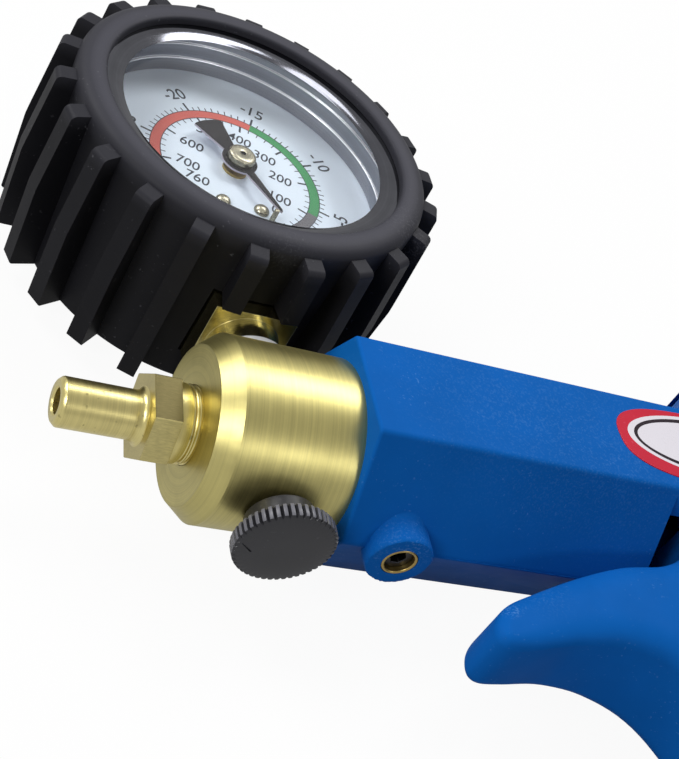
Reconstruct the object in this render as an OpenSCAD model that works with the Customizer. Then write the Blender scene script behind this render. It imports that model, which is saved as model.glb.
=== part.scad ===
// Hand vacuum pump: hexagonal pistol body, brass head with hose nipple, booted vacuum gauge,
// release knob, squeeze lever, and the piston, valve and gauge movement inside.
// X runs rearward along the barrel, Y towards the gauge, Z out through the dial.
// The origin is the centre of the hose nipple's tip.

/* [Hose nipple] */
// Radius of the hose nipple
nipple_r = 4; // [3:0.1:5]
// Radius of the bore through the nipple
nipple_bore_r = 2.1; // [1.2:0.1:2.4]
// Length of the nipple in front of its hexagon
nipple_len = 13.5; // [8:0.5:20]
// Width across flats of the nipple's hexagon
hex_af = 13.5; // [12:0.5:17]
// Length of the nipple's hexagon
hex_len = 4.6; // [3:0.2:8]
// Turn of the hexagon about the barrel axis, degrees
hex_turn = 11.4; // [0:0.2:60]
// Outside radius of the nipple's thread
port_thread_r = 6.5; // [5.5:0.1:7]
// Length of thread left showing between the hexagon and the head
thread_show = 3.5; // [0.5:0.5:6]
// Length of thread screwed into the head
thread_depth = 8; // [5:0.5:9]

/* [Brass head] */
// Radius of the round head
head_r = 15.5; // [14.8:0.1:16]
// Radius of the flat front of the head
head_front_r = 13.1; // [11:0.1:14]
// Length of the chamfer round the front
head_chamfer_len = 3.1; // [1:0.1:5]
// Length of head standing out of the body
head_len = 23.9; // [22:0.1:30]
// Length of the spigot inside the body
spigot_len = 14; // [12:0.5:18]
// Length of the register that enters the cylinder tube
register_len = 5; // [4:0.5:6]
// Radius of the air passages in the head
passage_r = 2; // [1:0.1:2.2]

/* [Cylinder] */
// Radius of the opening in the body's lip behind the rear guide
guide_lip_r = 11.6; // [11:0.1:13]
// Radius of the cylinder bore
bore_r = 13; // [12:0.1:13.2]
// Wall of the cylinder tube
tube_wall = 1.2; // [0.8:0.1:1.4]
// Length of the cylinder tube
tube_len = 38.5; // [37:0.5:39.5]
// Thickness of the rear guide's flange
guide_flange = 5; // [3:0.5:6]
// Length of the rear guide's register in the tube
guide_register = 3; // [2:0.5:4]

/* [Piston] */
// Radius of the piston rod
rod_r = 3; // [2:0.1:3.4]
// Radius of the piston's hub
piston_hub_r = 6; // [5:0.5:7]
// Thickness of the piston's front flange
piston_flange = 3; // [2:0.5:4]
// Length of the cup seal
seal_len = 5; // [4:0.5:6]
// Wire radius of the return spring
spring_wire_r = 0.6; // [0.4:0.05:0.6]
// Turns of the return spring
spring_turns = 6; // [4:1:7]

/* [Body] */
// Half width of the body across its flat sides
body_half = 17.3; // [16.8:0.1:19]
// Half height of each flat side
flat_half = 10.3; // [9:0.1:11]
// Distance from the barrel axis to the top and bottom ridges
ridge_y = 19.2; // [18.8:0.1:22]
// Length of the closed lower faces, from the front to the lever opening
barrel_len = 59.5; // [58.5:0.5:66]
// Radius on the long edges of the barrel
edge_r = 0.8; // [0.3:0.1:2]
// Half width of the slot that the lever works in
slot_half = 11; // [10.5:0.1:12]
// Step from the barrel's flat sides down to the rear housing's
cheek_drop = 0.3; // [0.2:0.1:1.2]
// Edge rounding of the rear housing
housing_round = 2.5; // [1:0.5:4]
// Half width of the fixed grip
grip_half = 13; // [11.5:0.5:15]
// Edge rounding of the fixed grip
grip_round = 5; // [2:0.5:6]

/* [Boss and grub screw] */
// Distance of the boss behind the front of the body
boss_back = 10; // [8:0.5:10.5]
// Outside radius of the boss
boss_r = 5.6; // [4.5:0.1:7]
// Height of the boss above the bottom ridge
boss_rise = 2.2; // [1:0.1:4]
// Outside radius of the brass insert
insert_r = 3.05; // [2.8:0.05:3.6]
// Radius of the grub screw
grub_r = 2.45; // [1.8:0.05:2.5]
// Width across flats of the grub screw's socket
grub_socket_af = 2.5; // [1.5:0.5:3]

/* [Release valve] */
// Distance of the valve's axis behind the front of the head
release_back = 13.5; // [11:0.5:14]
// Radius of the knurled rim of the knob
knob_r = 8.3; // [6:0.1:9]
// Thickness of the knurled rim
knob_rim = 2.9; // [2:0.1:5]
// Radius of the knob's neck
knob_neck_r = 5.4; // [4:0.1:6]
// Number of knurl ridges
knurls = 46; // [24:2:60]
// Radius of the threaded spindle
spindle_r = 2.5; // [2:0.1:3]

/* [Check valve] */
// Radius of the check valve's ball
ball_r = 2.9; // [2.6:0.1:3.2]

/* [Gauge] */
// Height of the square block on the gauge's stem
block_h = 5.6; // [4:0.2:9]
// Distance of the gauge's stem behind the front of the head
gauge_back = 12.4; // [11:0.2:14]
// Half width of the square block on the gauge's stem
block_half = 7.6; // [7:0.1:8]
// Distance from the barrel axis to the underside of the square block
block_y = 20.8; // [19:0.2:22]
// Outside radius of the gauge case
case_r = 30.8; // [30:0.1:31]
// Wall of the gauge case
case_wall = 1; // [0.6:0.1:1.2]
// Height of the dial's face above the barrel axis
dial_z = 9.2; // [8.5:0.1:10]
// Turn of the dial about its centre, degrees
dial_turn = -19.8; // [-30:0.2:30]
// Thickness of the polished ring between the dial and the lens
ring_wall = 2.35; // [1.5:0.05:4]
// Wall of the bezel's skirt
bezel_wall = 1.2; // [0.8:0.1:2]
// Thickness of the lens
lens_t = 2.2; // [1.5:0.1:3]
// Radius that the pointer's tip reaches
pointer_reach = 13.8; // [10:0.2:18]
// Angle of the resting pointer, clockwise from the top of the dial
pointer_rest = 131; // [120:1:140]

/* [Rubber boot] */
// Thickness of the boot's wall at its back
boot_wall = 1.8; // [1.2:0.1:3]
// Thickness of the boot's front ring round the bezel
boot_ring_wall = 2; // [1.4:0.1:4]
// Width of the lip in front of the bezel
boot_lip = 3.2; // [2:0.1:4]
// Height of the ribs at the back
rib_h = 4.7; // [2:0.1:7]
// Height of the ribs at mid-depth, above the back's wall
rib_mid_h = 5.6; // [2:0.1:8]
// Width of each rib
rib_w = 3.3; // [2:0.1:5]
// Number of ribs
ribs = 22; // [12:1:26]

/* [Lever] */
// Half width of the lever
lever_half = 10.4; // [9:0.1:10.4]
// Depth of the rounding along the lever's edges
lever_round = 3; // [1:0.5:4]
// How far the rounding reaches in over the lever's face
lever_ease = 5; // [1:0.5:5]
// Half thickness of the lever's finger hook at its tip
nose_half = 6.2; // [5:0.1:9]
// Radius of the pivot pin
pivot_r = 3; // [2:0.1:3.4]
// Height of the pivot above the barrel axis
pivot_y = 26; // [24:0.5:28]
// Distance of the pivot behind the lever opening's front edge
pivot_back = 33; // [32:0.5:36]
// Squeeze of the lever from rest to the stop, degrees
lever_swing = 24; // [12:1:24]
// Radius of the pin that joins the rod to the lever
rod_pin_r = 2.45; // [1.8:0.05:2.6]

/* [Badge] */
// Length of the oval badge
badge_len = 46; // [30:1:60]
// Width of the oval badge
badge_w = 16.6; // [10:0.2:18]
// Distance of the badge's front end behind the front of the body
badge_back = 50; // [44:0.5:56]

/* [Hidden] */
$fn = 64;

blue = [0.11, 0.36, 0.68];
brass = [0.72, 0.66, 0.38];
rubber = [0.12, 0.12, 0.13];
chrome = [0.80, 0.81, 0.83];
steel = [0.62, 0.63, 0.65];

// Clearances: a running fit, a gap between a seated pair, and a free gap between moving pieces
run_gap = 0.05;
seat_gap = 0.05;
free_gap = 0.4;
eps = 0.01;

// Stations along the barrel
head_x = nipple_len + hex_len + thread_show;
body_x = head_x + head_len;
spigot_x = body_x + spigot_len;
register_x = spigot_x + register_len;
tube_end_x = spigot_x + tube_len;
guide_end_x = tube_end_x + guide_flange;
slot_x = body_x + barrel_len;
pivot_x = slot_x + pivot_back;
cheek_z = body_half - cheek_drop;
cheek_bottom = flat_half + 0.7;
boss_x = body_x + boss_back;
release_x = head_x + release_back;
gauge_x = head_x + gauge_back;
gauge_y = block_y + block_h + case_r;

// Fits round the cylinder
tube_out_r = bore_r + tube_wall;
body_bore_r = tube_out_r + 0.1;
spigot_r = tube_out_r;
register_r = bore_r - seat_gap;
oring_r = 0.75;

// The rod pin keeps to the barrel axis, half a swing ahead of the pivot at rest
pin_reach = pivot_y * tan(lever_swing / 2);
pin_x = pivot_x - pin_reach;
stroke = 2 * pin_reach;
rod_pin_gap = 0.35;
clip_t = 0.8;
clip_recess = 2;
clip_groove = 0.5;

// Piston stations at rest
piston_x = register_x + 0.8;
seal_x = piston_x + piston_flange + seat_gap;
washer_x = seal_x + seal_len + seat_gap;
washer_t = 1.6;
rod_x = washer_x + washer_t;
guide_nose_x = tube_end_x - guide_register;
eye_r = rod_pin_r + 3;
eye_half = 4;

// Check valve stations
seat_x = register_x - 10.5;
ball_seat = sqrt(ball_r * ball_r - passage_r * passage_r);
ball_x = seat_x + ball_seat + seat_gap;
cage_r = ball_r + 1.6;
retainer_t = 2.2;
retainer_x = register_x - retainer_t - 0.5;

// Release valve stations, measured along the valve's axis from the barrel axis
valve_seat_y = 6;
pad_t = 1.4;
spindle_tip_y = valve_seat_y + pad_t + seat_gap;
knob_neck_y = head_r + free_gap;
knob_rim_y = 19.5;
knob_face_y = knob_rim_y + knob_rim;

// Gauge stations along the dial's axis
boot_front_z = 21.6;
boot_back_z = -14.4;
case_back_z = -12.3;
bezel_top_z = 20.6;
bezel_lip_t = 1.6;
bezel_skirt_z = 12;
bezel_r = case_r + bezel_wall;
boot_back_r = case_r + boot_wall;
boot_ring_r = bezel_r + boot_ring_wall;
boot_lip_r = bezel_r - boot_lip;
rib_r = boot_back_r + rib_h;
rib_mid_r = boot_back_r + rib_mid_h;
case_top_z = bezel_top_z - bezel_lip_t - seat_gap;
lens_top_z = case_top_z;
lens_z = lens_top_z - lens_t;
dial_t = 0.8;
dial_r = case_r - case_wall - seat_gap;
ring_in_r = dial_r - ring_wall;
spot_y = 14.8;
washer_top_y = 16.4;
plate_t = 1;
plate_drop = 13;
plate_half = 5.8;
plate_rise = 3;
plate_low_z = -5;
plate_high_z = 4;
stud_y = 10.3;
stud_x = 3.8;
pointer_z = 11.2;
pointer_t = 0.5;
hub_r = 3.5;
cap_r = 2.7;
tail_reach = 11;
bush_r = 2.4;
stop_r = pointer_reach - 0.4;
stop_turn = pointer_rest + 4.5;
zero_turn = dial_turn - pointer_rest;

// Gauge movement: a ten-tooth pinion driven by part of a seventy-tooth sector
gear_m = 0.28;
pinion_teeth = 10;
sector_teeth = 70;
pressure = 25;
gear_gap = gear_m * (pinion_teeth + sector_teeth) / 2 + 0.05;
mesh_turn = 20;
sector_x = gauge_x - gear_gap * cos(mesh_turn);
sector_y = gauge_y - gear_gap * sin(mesh_turn);
gear_z = -1;
gear_t = 1.4;
tube_mean_r = 22;
tube_start = -90;
tube_sweep = 262;
tube_w = 1.8;
tube_h = 6.8;
tube_foot = case_r - 3.4 - tube_mean_r - tube_w / 2 - seat_gap;

// Outlines seen from the dial side, X measured from the front edge of the lever opening.
// Squeeze lever, finger hook first, then round by the hub
lever_points = [[-38.6, -36.4], [-37.6, -33.6], [-34.6, -30.7], [-29.1, -28.1], [-20.8, -24.8],
    [-11.3, -21.9], [-1.5, -20.2], [5.2, -16.6], [9.6, -10], [13.4, 0], [18.6, 11], [25.6, 21.6],
    [27, 27], [32.1, 32], [38.5, 29], [39.4, 22], [38, 10], [33.5, -5], [29.6, -20], [26.6, -40],
    [26.8, -60], [29, -80], [31.4, -93], [28, -100.4], [20, -101.6], [13.2, -98], [8.2, -82],
    [3.6, -64], [-0.8, -50], [-6.1, -41.5], [-13.7, -37.8], [-22.9, -37.3], [-31.8, -38.7],
    [-36.2, -39.1], [-38.1, -38.2]];
// Rear housing, from the barrel's top edge over the pivot and down behind the lever
housing_points = [[3, 6], [9.5, 11.5], [16, 19.5], [21.5, 28.5], [27, 34.2], [34, 36.2], [42, 33.6],
    [49.5, 26.5], [57, 16.5], [63.5, 5], [67.5, -8], [67, -19], [60, -24.3], [53.4, -22.4], [47, -17.6],
    [41, -10], [29, -6], [15, -4]];
// Fixed grip, starting inside the housing
grip_points = [[56, -6], [63, -5], [70, -14], [76, -26], [82.5, -39], [90.5, -55], [100, -72],
    [107.4, -86], [106.6, -95], [98.5, -98.6], [90.5, -94], [79, -76.5], [68.5, -58], [59.6, -39],
    [55, -24], [53, -13]];
// Hollow that the lever works in
hollow_points = [[0, 12], [8, 12.1], [12.6, 12.6], [16.6, 16.4], [20.8, 24], [25.2, 30.4], [33, 33.2],
    [40, 31], [44.5, 22], [48, 12], [50.3, 0], [51.4, -14], [45, -40], [0, -40]];

// ---- shared shapes ----

function closed(p, i) = p[(i + len(p)) % len(p)];

// Outline moved back to the lever opening
function at_slot(p) = [for (v = p) [v[0] + slot_x, v[1]]];

// Smooth closed curve through the points, n steps to each span
function smooth(p, n) = [for (i = [0:len(p) - 1], k = [0:n - 1])
    let (t = k / n, a = closed(p, i - 1), b = closed(p, i), c = closed(p, i + 1), d = closed(p, i + 2))
    0.5 * (2 * b + (c - a) * t + (2 * a - 5 * b + 4 * c - d) * t * t
        + (3 * b - a - 3 * c + d) * t * t * t)];

// Share of the full amount at x, from tip at x0 to 1 at x1
function share(x, tip, x0, x1) = let (t = max(0, min(1, (x - x0) / (x1 - x0))))
    tip + (1 - tip) * t * t * (3 - 2 * t);

// The outline moved inward by d, or by less towards its tip; the outline runs clockwise
function inset(p, d, tip = 1, x0 = 0, x1 = 1) = [for (i = [0:len(p) - 1])
    let (v = closed(p, i + 1) - closed(p, i - 1), l = norm(v))
    p[i] + d * share(p[i][0], tip, x0, x1) * [v[1], -v[0]] / l];

// Triangles that fill the clockwise outline p, clipped off one ear at a time
function side(a, b, c) = (b[0] - a[0]) * (c[1] - a[1]) - (b[1] - a[1]) * (c[0] - a[0]);
function is_ear(p, v, k) = let (n = len(v), a = p[v[(k + n - 1) % n]], b = p[v[k]], c = p[v[(k + 1) % n]])
    side(a, b, c) < 0 && len([for (j = [2:n - 2]) let (q = p[v[(k + j) % n]])
        if (side(a, b, q) <= 0 && side(b, c, q) <= 0 && side(c, a, q) <= 0) 1]) == 0;
function line_gap(a, b, c) = abs(side(a, b, c)) / norm(b - a);
// Length of the cut that takes off corner k; cuts that pass over the pivot count for more
function cut_len(p, v, k) = let (n = len(v), a = p[v[(k + n - 1) % n]], b = p[v[(k + 1) % n]],
    over = line_gap(a, b, [pivot_x, pivot_y]) < pivot_r + 0.6) norm(b - a) * (over ? 5 : 1);
function least(c, i, best) = i >= len(c) ? best : least(c, i + 1, c[i][0] < c[best][0] ? i : best);
function find_ear(p, v) = let (c = [for (k = [0:len(v) - 1]) if (is_ear(p, v, k)) [cut_len(p, v, k), k]])
    len(c) == 0 ? 0 : c[least(c, 1, 0)][1];
function fill(p, v) = len(v) < 4 ? [v] : let (k = find_ear(p, v), n = len(v))
    concat([[v[(k + n - 1) % n], v[k], v[(k + 1) % n]]],
        fill(p, [for (i = [1:n - 1]) v[(k + i) % n]]));

// A slab of half thickness half with its edges rounded by r, the rounding reaching in by ease;
// from x1 back to x0 it thins to the share tip, and the rounding's reach to the share 0.4
module rounded_slab(p, half, r, ease = 0, tip = 1, x0 = 0, x1 = 1, steps = 4) {
    n = len(p);
    w = ease > 0 ? ease : r;
    soft = ease > 0 ? 0.4 : 1;
    level = concat([for (k = [0:steps]) [-half + r - r * cos(90 * k / steps), w - w * sin(90 * k / steps)]],
        [for (k = [0:steps]) [half - r + r * sin(90 * k / steps), w - w * cos(90 * k / steps)]]);
    rings = [for (e = level) let (q = inset(p, e[1], soft, x0, x1 - 15))
        [for (v = q) [v[0], v[1], e[0] * share(v[0], tip, x0, x1)]]];
    points = [for (ring = rings) each ring];
    m = len(rings);
    sides = [for (j = [0:m - 2], i = [0:n - 1])
        let (a = j * n + i, b = j * n + (i + 1) % n) each [[a, b, b + n], [a, b + n, a + n]]];
    cap = fill(inset(p, w, soft, x0, x1 - 15), [for (i = [0:n - 1]) i]);
    polyhedron(points, concat([for (t = cap) [t[2], t[1], t[0]]], sides,
        [for (t = cap) [t[0] + (m - 1) * n, t[1] + (m - 1) * n, t[2] + (m - 1) * n]]));
}

// A closed coil spring along X from x0 to x1
module coil(x0, x1, mean_r, wire_r, turns, per_turn = 14, sides = 8) {
    n = turns * per_turn;
    pitch = (x1 - x0 - 2 * wire_r) / turns;
    slope = atan(pitch / (2 * PI * mean_r));
    rings = [for (i = [0:n]) let (a = 360 * i / per_turn) [for (k = [0:sides - 1])
        let (b = 360 * k / sides, r = mean_r + wire_r * cos(b), s = wire_r * sin(b))
        [x0 + wire_r + pitch * i / per_turn + s * cos(slope),
            r * cos(a) + s * sin(slope) * sin(a), r * sin(a) - s * sin(slope) * cos(a)]]];
    points = [for (ring = rings) each ring];
    skin = [for (i = [0:n - 1], k = [0:sides - 1])
        let (a = i * sides + k, b = i * sides + (k + 1) % sides)
        each [[a, b, b + sides], [a, b + sides, a + sides]]];
    polyhedron(points, concat([[for (k = [sides - 1:-1:0]) k]], skin,
        [[for (k = [0:sides - 1]) n * sides + k]]));
}

// A cylinder along X
module xcyl(x0, x1, r, r2 = -1) {
    translate([x0, 0, 0]) rotate([0, 90, 0]) cylinder(h = x1 - x0, r1 = r, r2 = r2 < 0 ? r : r2);
}

// A cylinder along Y at station x, from y0 up to y1
module ycyl(x, y0, y1, r) {
    translate([x, y0, 0]) rotate([-90, 0, 0]) cylinder(h = y1 - y0, r = r);
}

// A cylinder along Z at x, y
module zcyl(x, y, z0, z1, r) {
    translate([x, y, z0]) cylinder(h = z1 - z0, r = r);
}

// A ring along Z round the gauge's axis
module gauge_ring(z0, z1, r_in, r_out) {
    difference() {
        zcyl(gauge_x, gauge_y, z0, z1, r_out);
        zcyl(gauge_x, gauge_y, z0 - 1, z1 + 1, r_in);
    }
}

module torus_x(x, mean_r, r) {
    translate([x, 0, 0]) rotate([0, 90, 0]) rotate_extrude() translate([mean_r, 0]) circle(r = r, $fn = 24);
}

// ---- body ----

// Hexagonal barrel from x0 to x1 with its six long edges rounded
module barrel(x0, x1) {
    p = [[ridge_y, 0], [flat_half, body_half], [-flat_half, body_half], [-ridge_y, 0],
        [-flat_half, -body_half], [flat_half, -body_half]];
    translate([x0, 0, 0]) rotate([90, 0, 90]) linear_extrude(x1 - x0) polygon([for (i = [0:5])
        let (u = closed(p, i - 1) - p[i], v = closed(p, i + 1) - p[i],
            a = p[i] + edge_r * u / norm(u), b = p[i] + edge_r * v / norm(v))
        each [for (t = [0:0.25:1]) (1 - t) * (1 - t) * a + 2 * t * (1 - t) * p[i] + t * t * b]]);
}

module pump_body() color(blue) difference() {
    union() {
        barrel(body_x, slot_x);
        intersection() {
            barrel(slot_x - eps, pivot_x + 20);
            translate([slot_x - 1, -cheek_bottom, -body_half - 1])
                cube([pivot_x, 2 * ridge_y, 2 * body_half + 2]);
        }
        rounded_slab(smooth(at_slot(housing_points), 3), cheek_z, housing_round);
        rounded_slab(smooth(at_slot(grip_points), 3), grip_half, grip_round);
        ycyl(boss_x, -ridge_y - boss_rise, -ridge_y / 2, boss_r);
    }
    xcyl(body_x - 1, guide_end_x, body_bore_r);
    xcyl(guide_end_x - 1, slot_x + 1, guide_lip_r);
    translate([0, 0, -slot_half]) linear_extrude(2 * slot_half) polygon(at_slot(hollow_points));
    ycyl(boss_x, -ridge_y - boss_rise - 1, 0, insert_r + seat_gap);
    zcyl(pivot_x, pivot_y, -body_half - 1, body_half + 1, pivot_r + seat_gap);
    zcyl(pivot_x, pivot_y, -body_half - 1, clip_recess - cheek_z, pivot_r + 2.6);
}

module clamp_insert() color(brass) difference() {
    ycyl(boss_x, -ridge_y - boss_rise, -body_bore_r - 0.6, insert_r);
    ycyl(boss_x, -ridge_y - boss_rise - 1, 0, grub_r + seat_gap);
}

module clamp_screw() color(steel) difference() {
    ycyl(boss_x, -ridge_y - boss_rise + 1, -spigot_r + 1, grub_r);
    ycyl(boss_x, -ridge_y - boss_rise, -ridge_y - boss_rise + 3.4, grub_socket_af / sqrt(3), $fn = 6);
}

module badge() color([0.78, 0.13, 0.22])
    translate([body_x + badge_back + badge_len / 2, 0.4, body_half]) linear_extrude(0.25)
        scale([badge_len / badge_w, 1]) circle(d = badge_w, $fn = 72);

// ---- head ----

module brass_head() color(brass) difference() {
    union() {
        xcyl(head_x, head_x + head_chamfer_len, head_front_r, head_r);
        xcyl(head_x + head_chamfer_len, body_x, head_r);
        xcyl(body_x - eps, spigot_x, spigot_r - seat_gap);
        xcyl(spigot_x - eps, register_x, register_r);
    }
    xcyl(head_x - 1, head_x + thread_depth + 1, port_thread_r + seat_gap);
    xcyl(head_x, register_x, passage_r);
    xcyl(seat_x, register_x + 1, cage_r);
    ycyl(gauge_x, spot_y, head_r + 1, port_thread_r + 1.3);
    ycyl(gauge_x, head_r - 8.5, head_r, port_thread_r + seat_gap);
    ycyl(gauge_x, 0, head_r, passage_r);
    ycyl(release_x, -head_r - 1, -valve_seat_y, spindle_r + run_gap);
    ycyl(release_x, -head_r, 0, passage_r / 2);
    ycyl(boss_x, -spigot_r - 1, -spigot_r + 1 + seat_gap, grub_r + 0.3);
    difference() {
        xcyl(spigot_x + 1.6, spigot_x + 1.6 + 2 * oring_r + 0.2, register_r + 1);
        xcyl(spigot_x, register_x, register_r - 2 * oring_r + 0.05);
    }
}

module head_o_ring() color(rubber)
    torus_x(spigot_x + 1.7 + oring_r, register_r - oring_r + 0.02, oring_r - 0.03);

module hose_nipple() color(brass) difference() {
    union() {
        xcyl(0, 0.7, nipple_r - 0.6, nipple_r);
        xcyl(0.7, nipple_len, nipple_r);
        xcyl(nipple_len - 1, nipple_len, nipple_r, nipple_r + 0.9);
        translate([nipple_len, 0, 0]) rotate([0, 90, 0]) rotate([0, 0, -hex_turn])
            rotate([0, 0, 90]) cylinder(h = hex_len, r = hex_af / sqrt(3), $fn = 6);
        xcyl(nipple_len + hex_len - eps, head_x + thread_depth, port_thread_r);
    }
    xcyl(-1, head_x + thread_depth + 1, nipple_bore_r);
}

module check_ball() color(steel) translate([ball_x, 0, 0]) sphere(r = ball_r, $fn = 48);

module check_spring() color(steel)
    coil(ball_x + sqrt(ball_r * ball_r - 1.69) + seat_gap, retainer_x - seat_gap, 1.5, 0.2, 3, 12, 6);

module check_retainer() color(brass) difference() {
    xcyl(retainer_x, retainer_x + retainer_t, cage_r - seat_gap);
    xcyl(retainer_x - 1, register_x, 1.1);
    for (a = [0:60:300]) rotate([a, 0, 0]) translate([0, 2.9, 0]) xcyl(retainer_x - 1, register_x, 0.6);
}

// ---- cylinder and piston ----

module cylinder_tube() color(brass) difference() {
    xcyl(spigot_x + seat_gap, tube_end_x, tube_out_r);
    xcyl(spigot_x - 1, tube_end_x + 1, bore_r);
}

module cylinder_guide() color(rubber) difference() {
    union() {
        xcyl(guide_nose_x, tube_end_x + 1, bore_r - seat_gap);
        xcyl(tube_end_x + seat_gap, guide_end_x - seat_gap, tube_out_r);
    }
    xcyl(guide_nose_x - 1, guide_end_x + 1, rod_r + run_gap);
    for (a = [45:90:315]) rotate([a, 0, 0]) translate([0, 9.6, 0])
        xcyl(guide_nose_x - 1, guide_end_x + 1, 1.3);
}

module piston() color([0.75, 0.76, 0.78]) difference() {
    union() {
        xcyl(piston_x, piston_x + piston_flange, bore_r - run_gap);
        xcyl(piston_x, washer_x, piston_hub_r);
    }
    xcyl(piston_x + 1, washer_x + 1, rod_r - 0.5 + seat_gap);
}

// Cup seal, its lip facing rearward
module piston_seal() color(rubber) translate([seal_x, 0, 0]) rotate([90, 0, 90]) rotate_extrude()
    polygon([[piston_hub_r + seat_gap, 0], [bore_r - run_gap - 0.3, 0], [bore_r - run_gap, 0.6],
        [bore_r - run_gap, seal_len], [bore_r - 1.2, seal_len], [bore_r - 1.9, 2.4],
        [piston_hub_r + 1.6, 2.4], [piston_hub_r + 1, seal_len], [piston_hub_r + seat_gap, seal_len]]);

module piston_washer() color(steel) difference() {
    xcyl(washer_x, washer_x + washer_t - seat_gap, bore_r - 2.2);
    xcyl(washer_x - 1, washer_x + washer_t, rod_r - 0.5 + seat_gap);
}

module piston_rod() color(steel) difference() {
    union() {
        xcyl(piston_x + 1.2, rod_x + eps, rod_r - 0.5);
        xcyl(rod_x, pin_x - rod_pin_r, rod_r);
        zcyl(pin_x, 0, -eye_half, eye_half, eye_r);
    }
    zcyl(pin_x, 0, -eye_half - 1, eye_half + 1, rod_pin_r + seat_gap);
}

module rod_pin() color(steel) zcyl(pin_x, 0, -lever_half + 0.4, lever_half - 0.4, rod_pin_r);

module return_spring() color(steel)
    coil(rod_x + seat_gap, guide_nose_x - seat_gap, 6.6, spring_wire_r, spring_turns);

// ---- release valve ----

module release_knob() color(rubber) difference() {
    union() {
        ycyl(release_x, -knob_rim_y - eps, -knob_neck_y, knob_neck_r);
        ycyl(release_x, -knob_face_y + 0.4, -knob_rim_y, knob_r - 0.35);
        ycyl(release_x, -knob_face_y, -knob_rim_y, knob_r - 1.1);
        for (i = [0:knurls - 1]) translate([release_x, -knob_face_y + 0.5, 0])
            rotate([-90, 0, 0]) rotate(360 * i / knurls) translate([knob_r - 0.9, -0.28, 0])
                cube([0.9, 0.56, knob_rim - 0.8]);
    }
    ycyl(release_x, -knob_face_y + 1.4, 0, spindle_r - 0.4);
}

module release_spindle() color(brass) difference() {
    union() {
        ycyl(release_x, -knob_neck_y + seat_gap, -spindle_tip_y, spindle_r);
        ycyl(release_x, -knob_face_y + 1.5, -knob_neck_y + 0.1, spindle_r - 0.4 - seat_gap);
    }
    difference() {
        ycyl(release_x, -knob_neck_y + 2.6, -knob_neck_y + 4.2, spindle_r + 1);
        ycyl(release_x, -head_r, 0, spindle_r - 1.05);
    }
}

module release_o_ring() color(rubber) translate([release_x, -knob_neck_y + 3.4, 0]) rotate([90, 0, 0])
    rotate_extrude() translate([spindle_r - 0.5, 0]) circle(r = 0.48, $fn = 20);

module release_pad() color(rubber)
    ycyl(release_x, -spindle_tip_y + seat_gap, -valve_seat_y - seat_gap / 2, spindle_r - 0.3);

// ---- gauge ----

module gauge_stem() color(brass) difference() {
    union() {
        ycyl(gauge_x, head_r - 8, block_y + 1, port_thread_r);
        translate([gauge_x - block_half, block_y, -block_half])
            cube([2 * block_half, gauge_y - case_r - seat_gap - block_y, 2 * block_half]);
        ycyl(gauge_x, block_y, gauge_y - case_r + 4, 4.4);
        translate([gauge_x - 5, gauge_y - case_r + 3.4, plate_low_z - plate_t - 4.6])
            cube([10, case_r - 3.4 - plate_drop + 3.6, 4.6]);
        translate([gauge_x - 5, gauge_y - case_r + 3.4, plate_low_z - plate_t - 4.6])
            cube([10, tube_foot, 12]);
    }
    ycyl(gauge_x, 0, gauge_y - case_r + 5, 1.4);
    translate([gauge_x, gauge_y, plate_low_z + 2]) rotate(tube_start - 4) rotate_extrude(angle = 30)
        translate([tube_mean_r - tube_w / 2 - seat_gap, -tube_h / 2 - seat_gap])
            square([tube_w + 2 * seat_gap, tube_h + 2 * seat_gap]);
}

module stem_washer() color([0.92, 0.92, 0.94]) difference() {
    ycyl(gauge_x, spot_y, washer_top_y, port_thread_r + 0.7);
    ycyl(gauge_x, 0, washer_top_y + 1, port_thread_r + seat_gap);
}

module gauge_case() color([0.16, 0.16, 0.17]) difference() {
    zcyl(gauge_x, gauge_y, case_back_z, case_top_z, case_r);
    zcyl(gauge_x, gauge_y, case_back_z + case_wall, case_top_z + 1, case_r - case_wall);
    ycyl(gauge_x, gauge_y - case_r - 2, gauge_y - case_r + 3, 4.4 + seat_gap);
}

// Side view of one rib: low at both ends, highest at mid-depth
module boot_rib() {
    rotate([90, 0, 0]) translate([0, 0, -rib_w / 2]) linear_extrude(rib_w)
        polygon([[boot_back_r - 0.8, boot_back_z], [rib_r, boot_back_z], [rib_mid_r, 3],
            [rib_r - 0.2, boot_front_z - 2.2], [rib_r - 0.8, boot_front_z - 1.8],
            [boot_ring_r - 1, boot_front_z - 1.8]]);
}

module gauge_boot() color(rubber) difference() {
    translate([gauge_x, gauge_y, 0]) union() {
        rotate_extrude($fn = 96)
            polygon([[boot_back_r, boot_back_z], [boot_ring_r, boot_front_z - 2],
                [boot_ring_r, boot_front_z - 0.9], [boot_ring_r - 0.9, boot_front_z],
                [boot_lip_r + 0.7, boot_front_z], [boot_lip_r, boot_front_z - 0.6],
                [boot_lip_r, bezel_top_z + seat_gap], [bezel_r + seat_gap, bezel_top_z + seat_gap],
                [bezel_r + seat_gap, bezel_skirt_z - 0.2], [case_r + seat_gap, bezel_skirt_z - 0.2],
                [case_r + seat_gap, case_back_z - seat_gap], [case_r - 4, case_back_z - seat_gap],
                [case_r - 4, boot_back_z]]);
        for (i = [0:ribs - 1]) rotate(360 * i / ribs) boot_rib();
    }
    translate([gauge_x - block_half - 0.3, block_y - 8, -block_half - 0.3])
        cube([2 * block_half + 0.6, 16, 2 * block_half + 0.6]);
}

module gauge_bezel() color(chrome) translate([gauge_x, gauge_y, 0]) rotate_extrude($fn = 96)
    polygon([[ring_in_r + 0.4, case_top_z + seat_gap], [case_r + seat_gap, case_top_z + seat_gap],
        [case_r + seat_gap, bezel_skirt_z], [bezel_r, bezel_skirt_z], [bezel_r, bezel_top_z - 0.6],
        [bezel_r - 0.6, bezel_top_z], [ring_in_r + 1.4, bezel_top_z]]);

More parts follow.
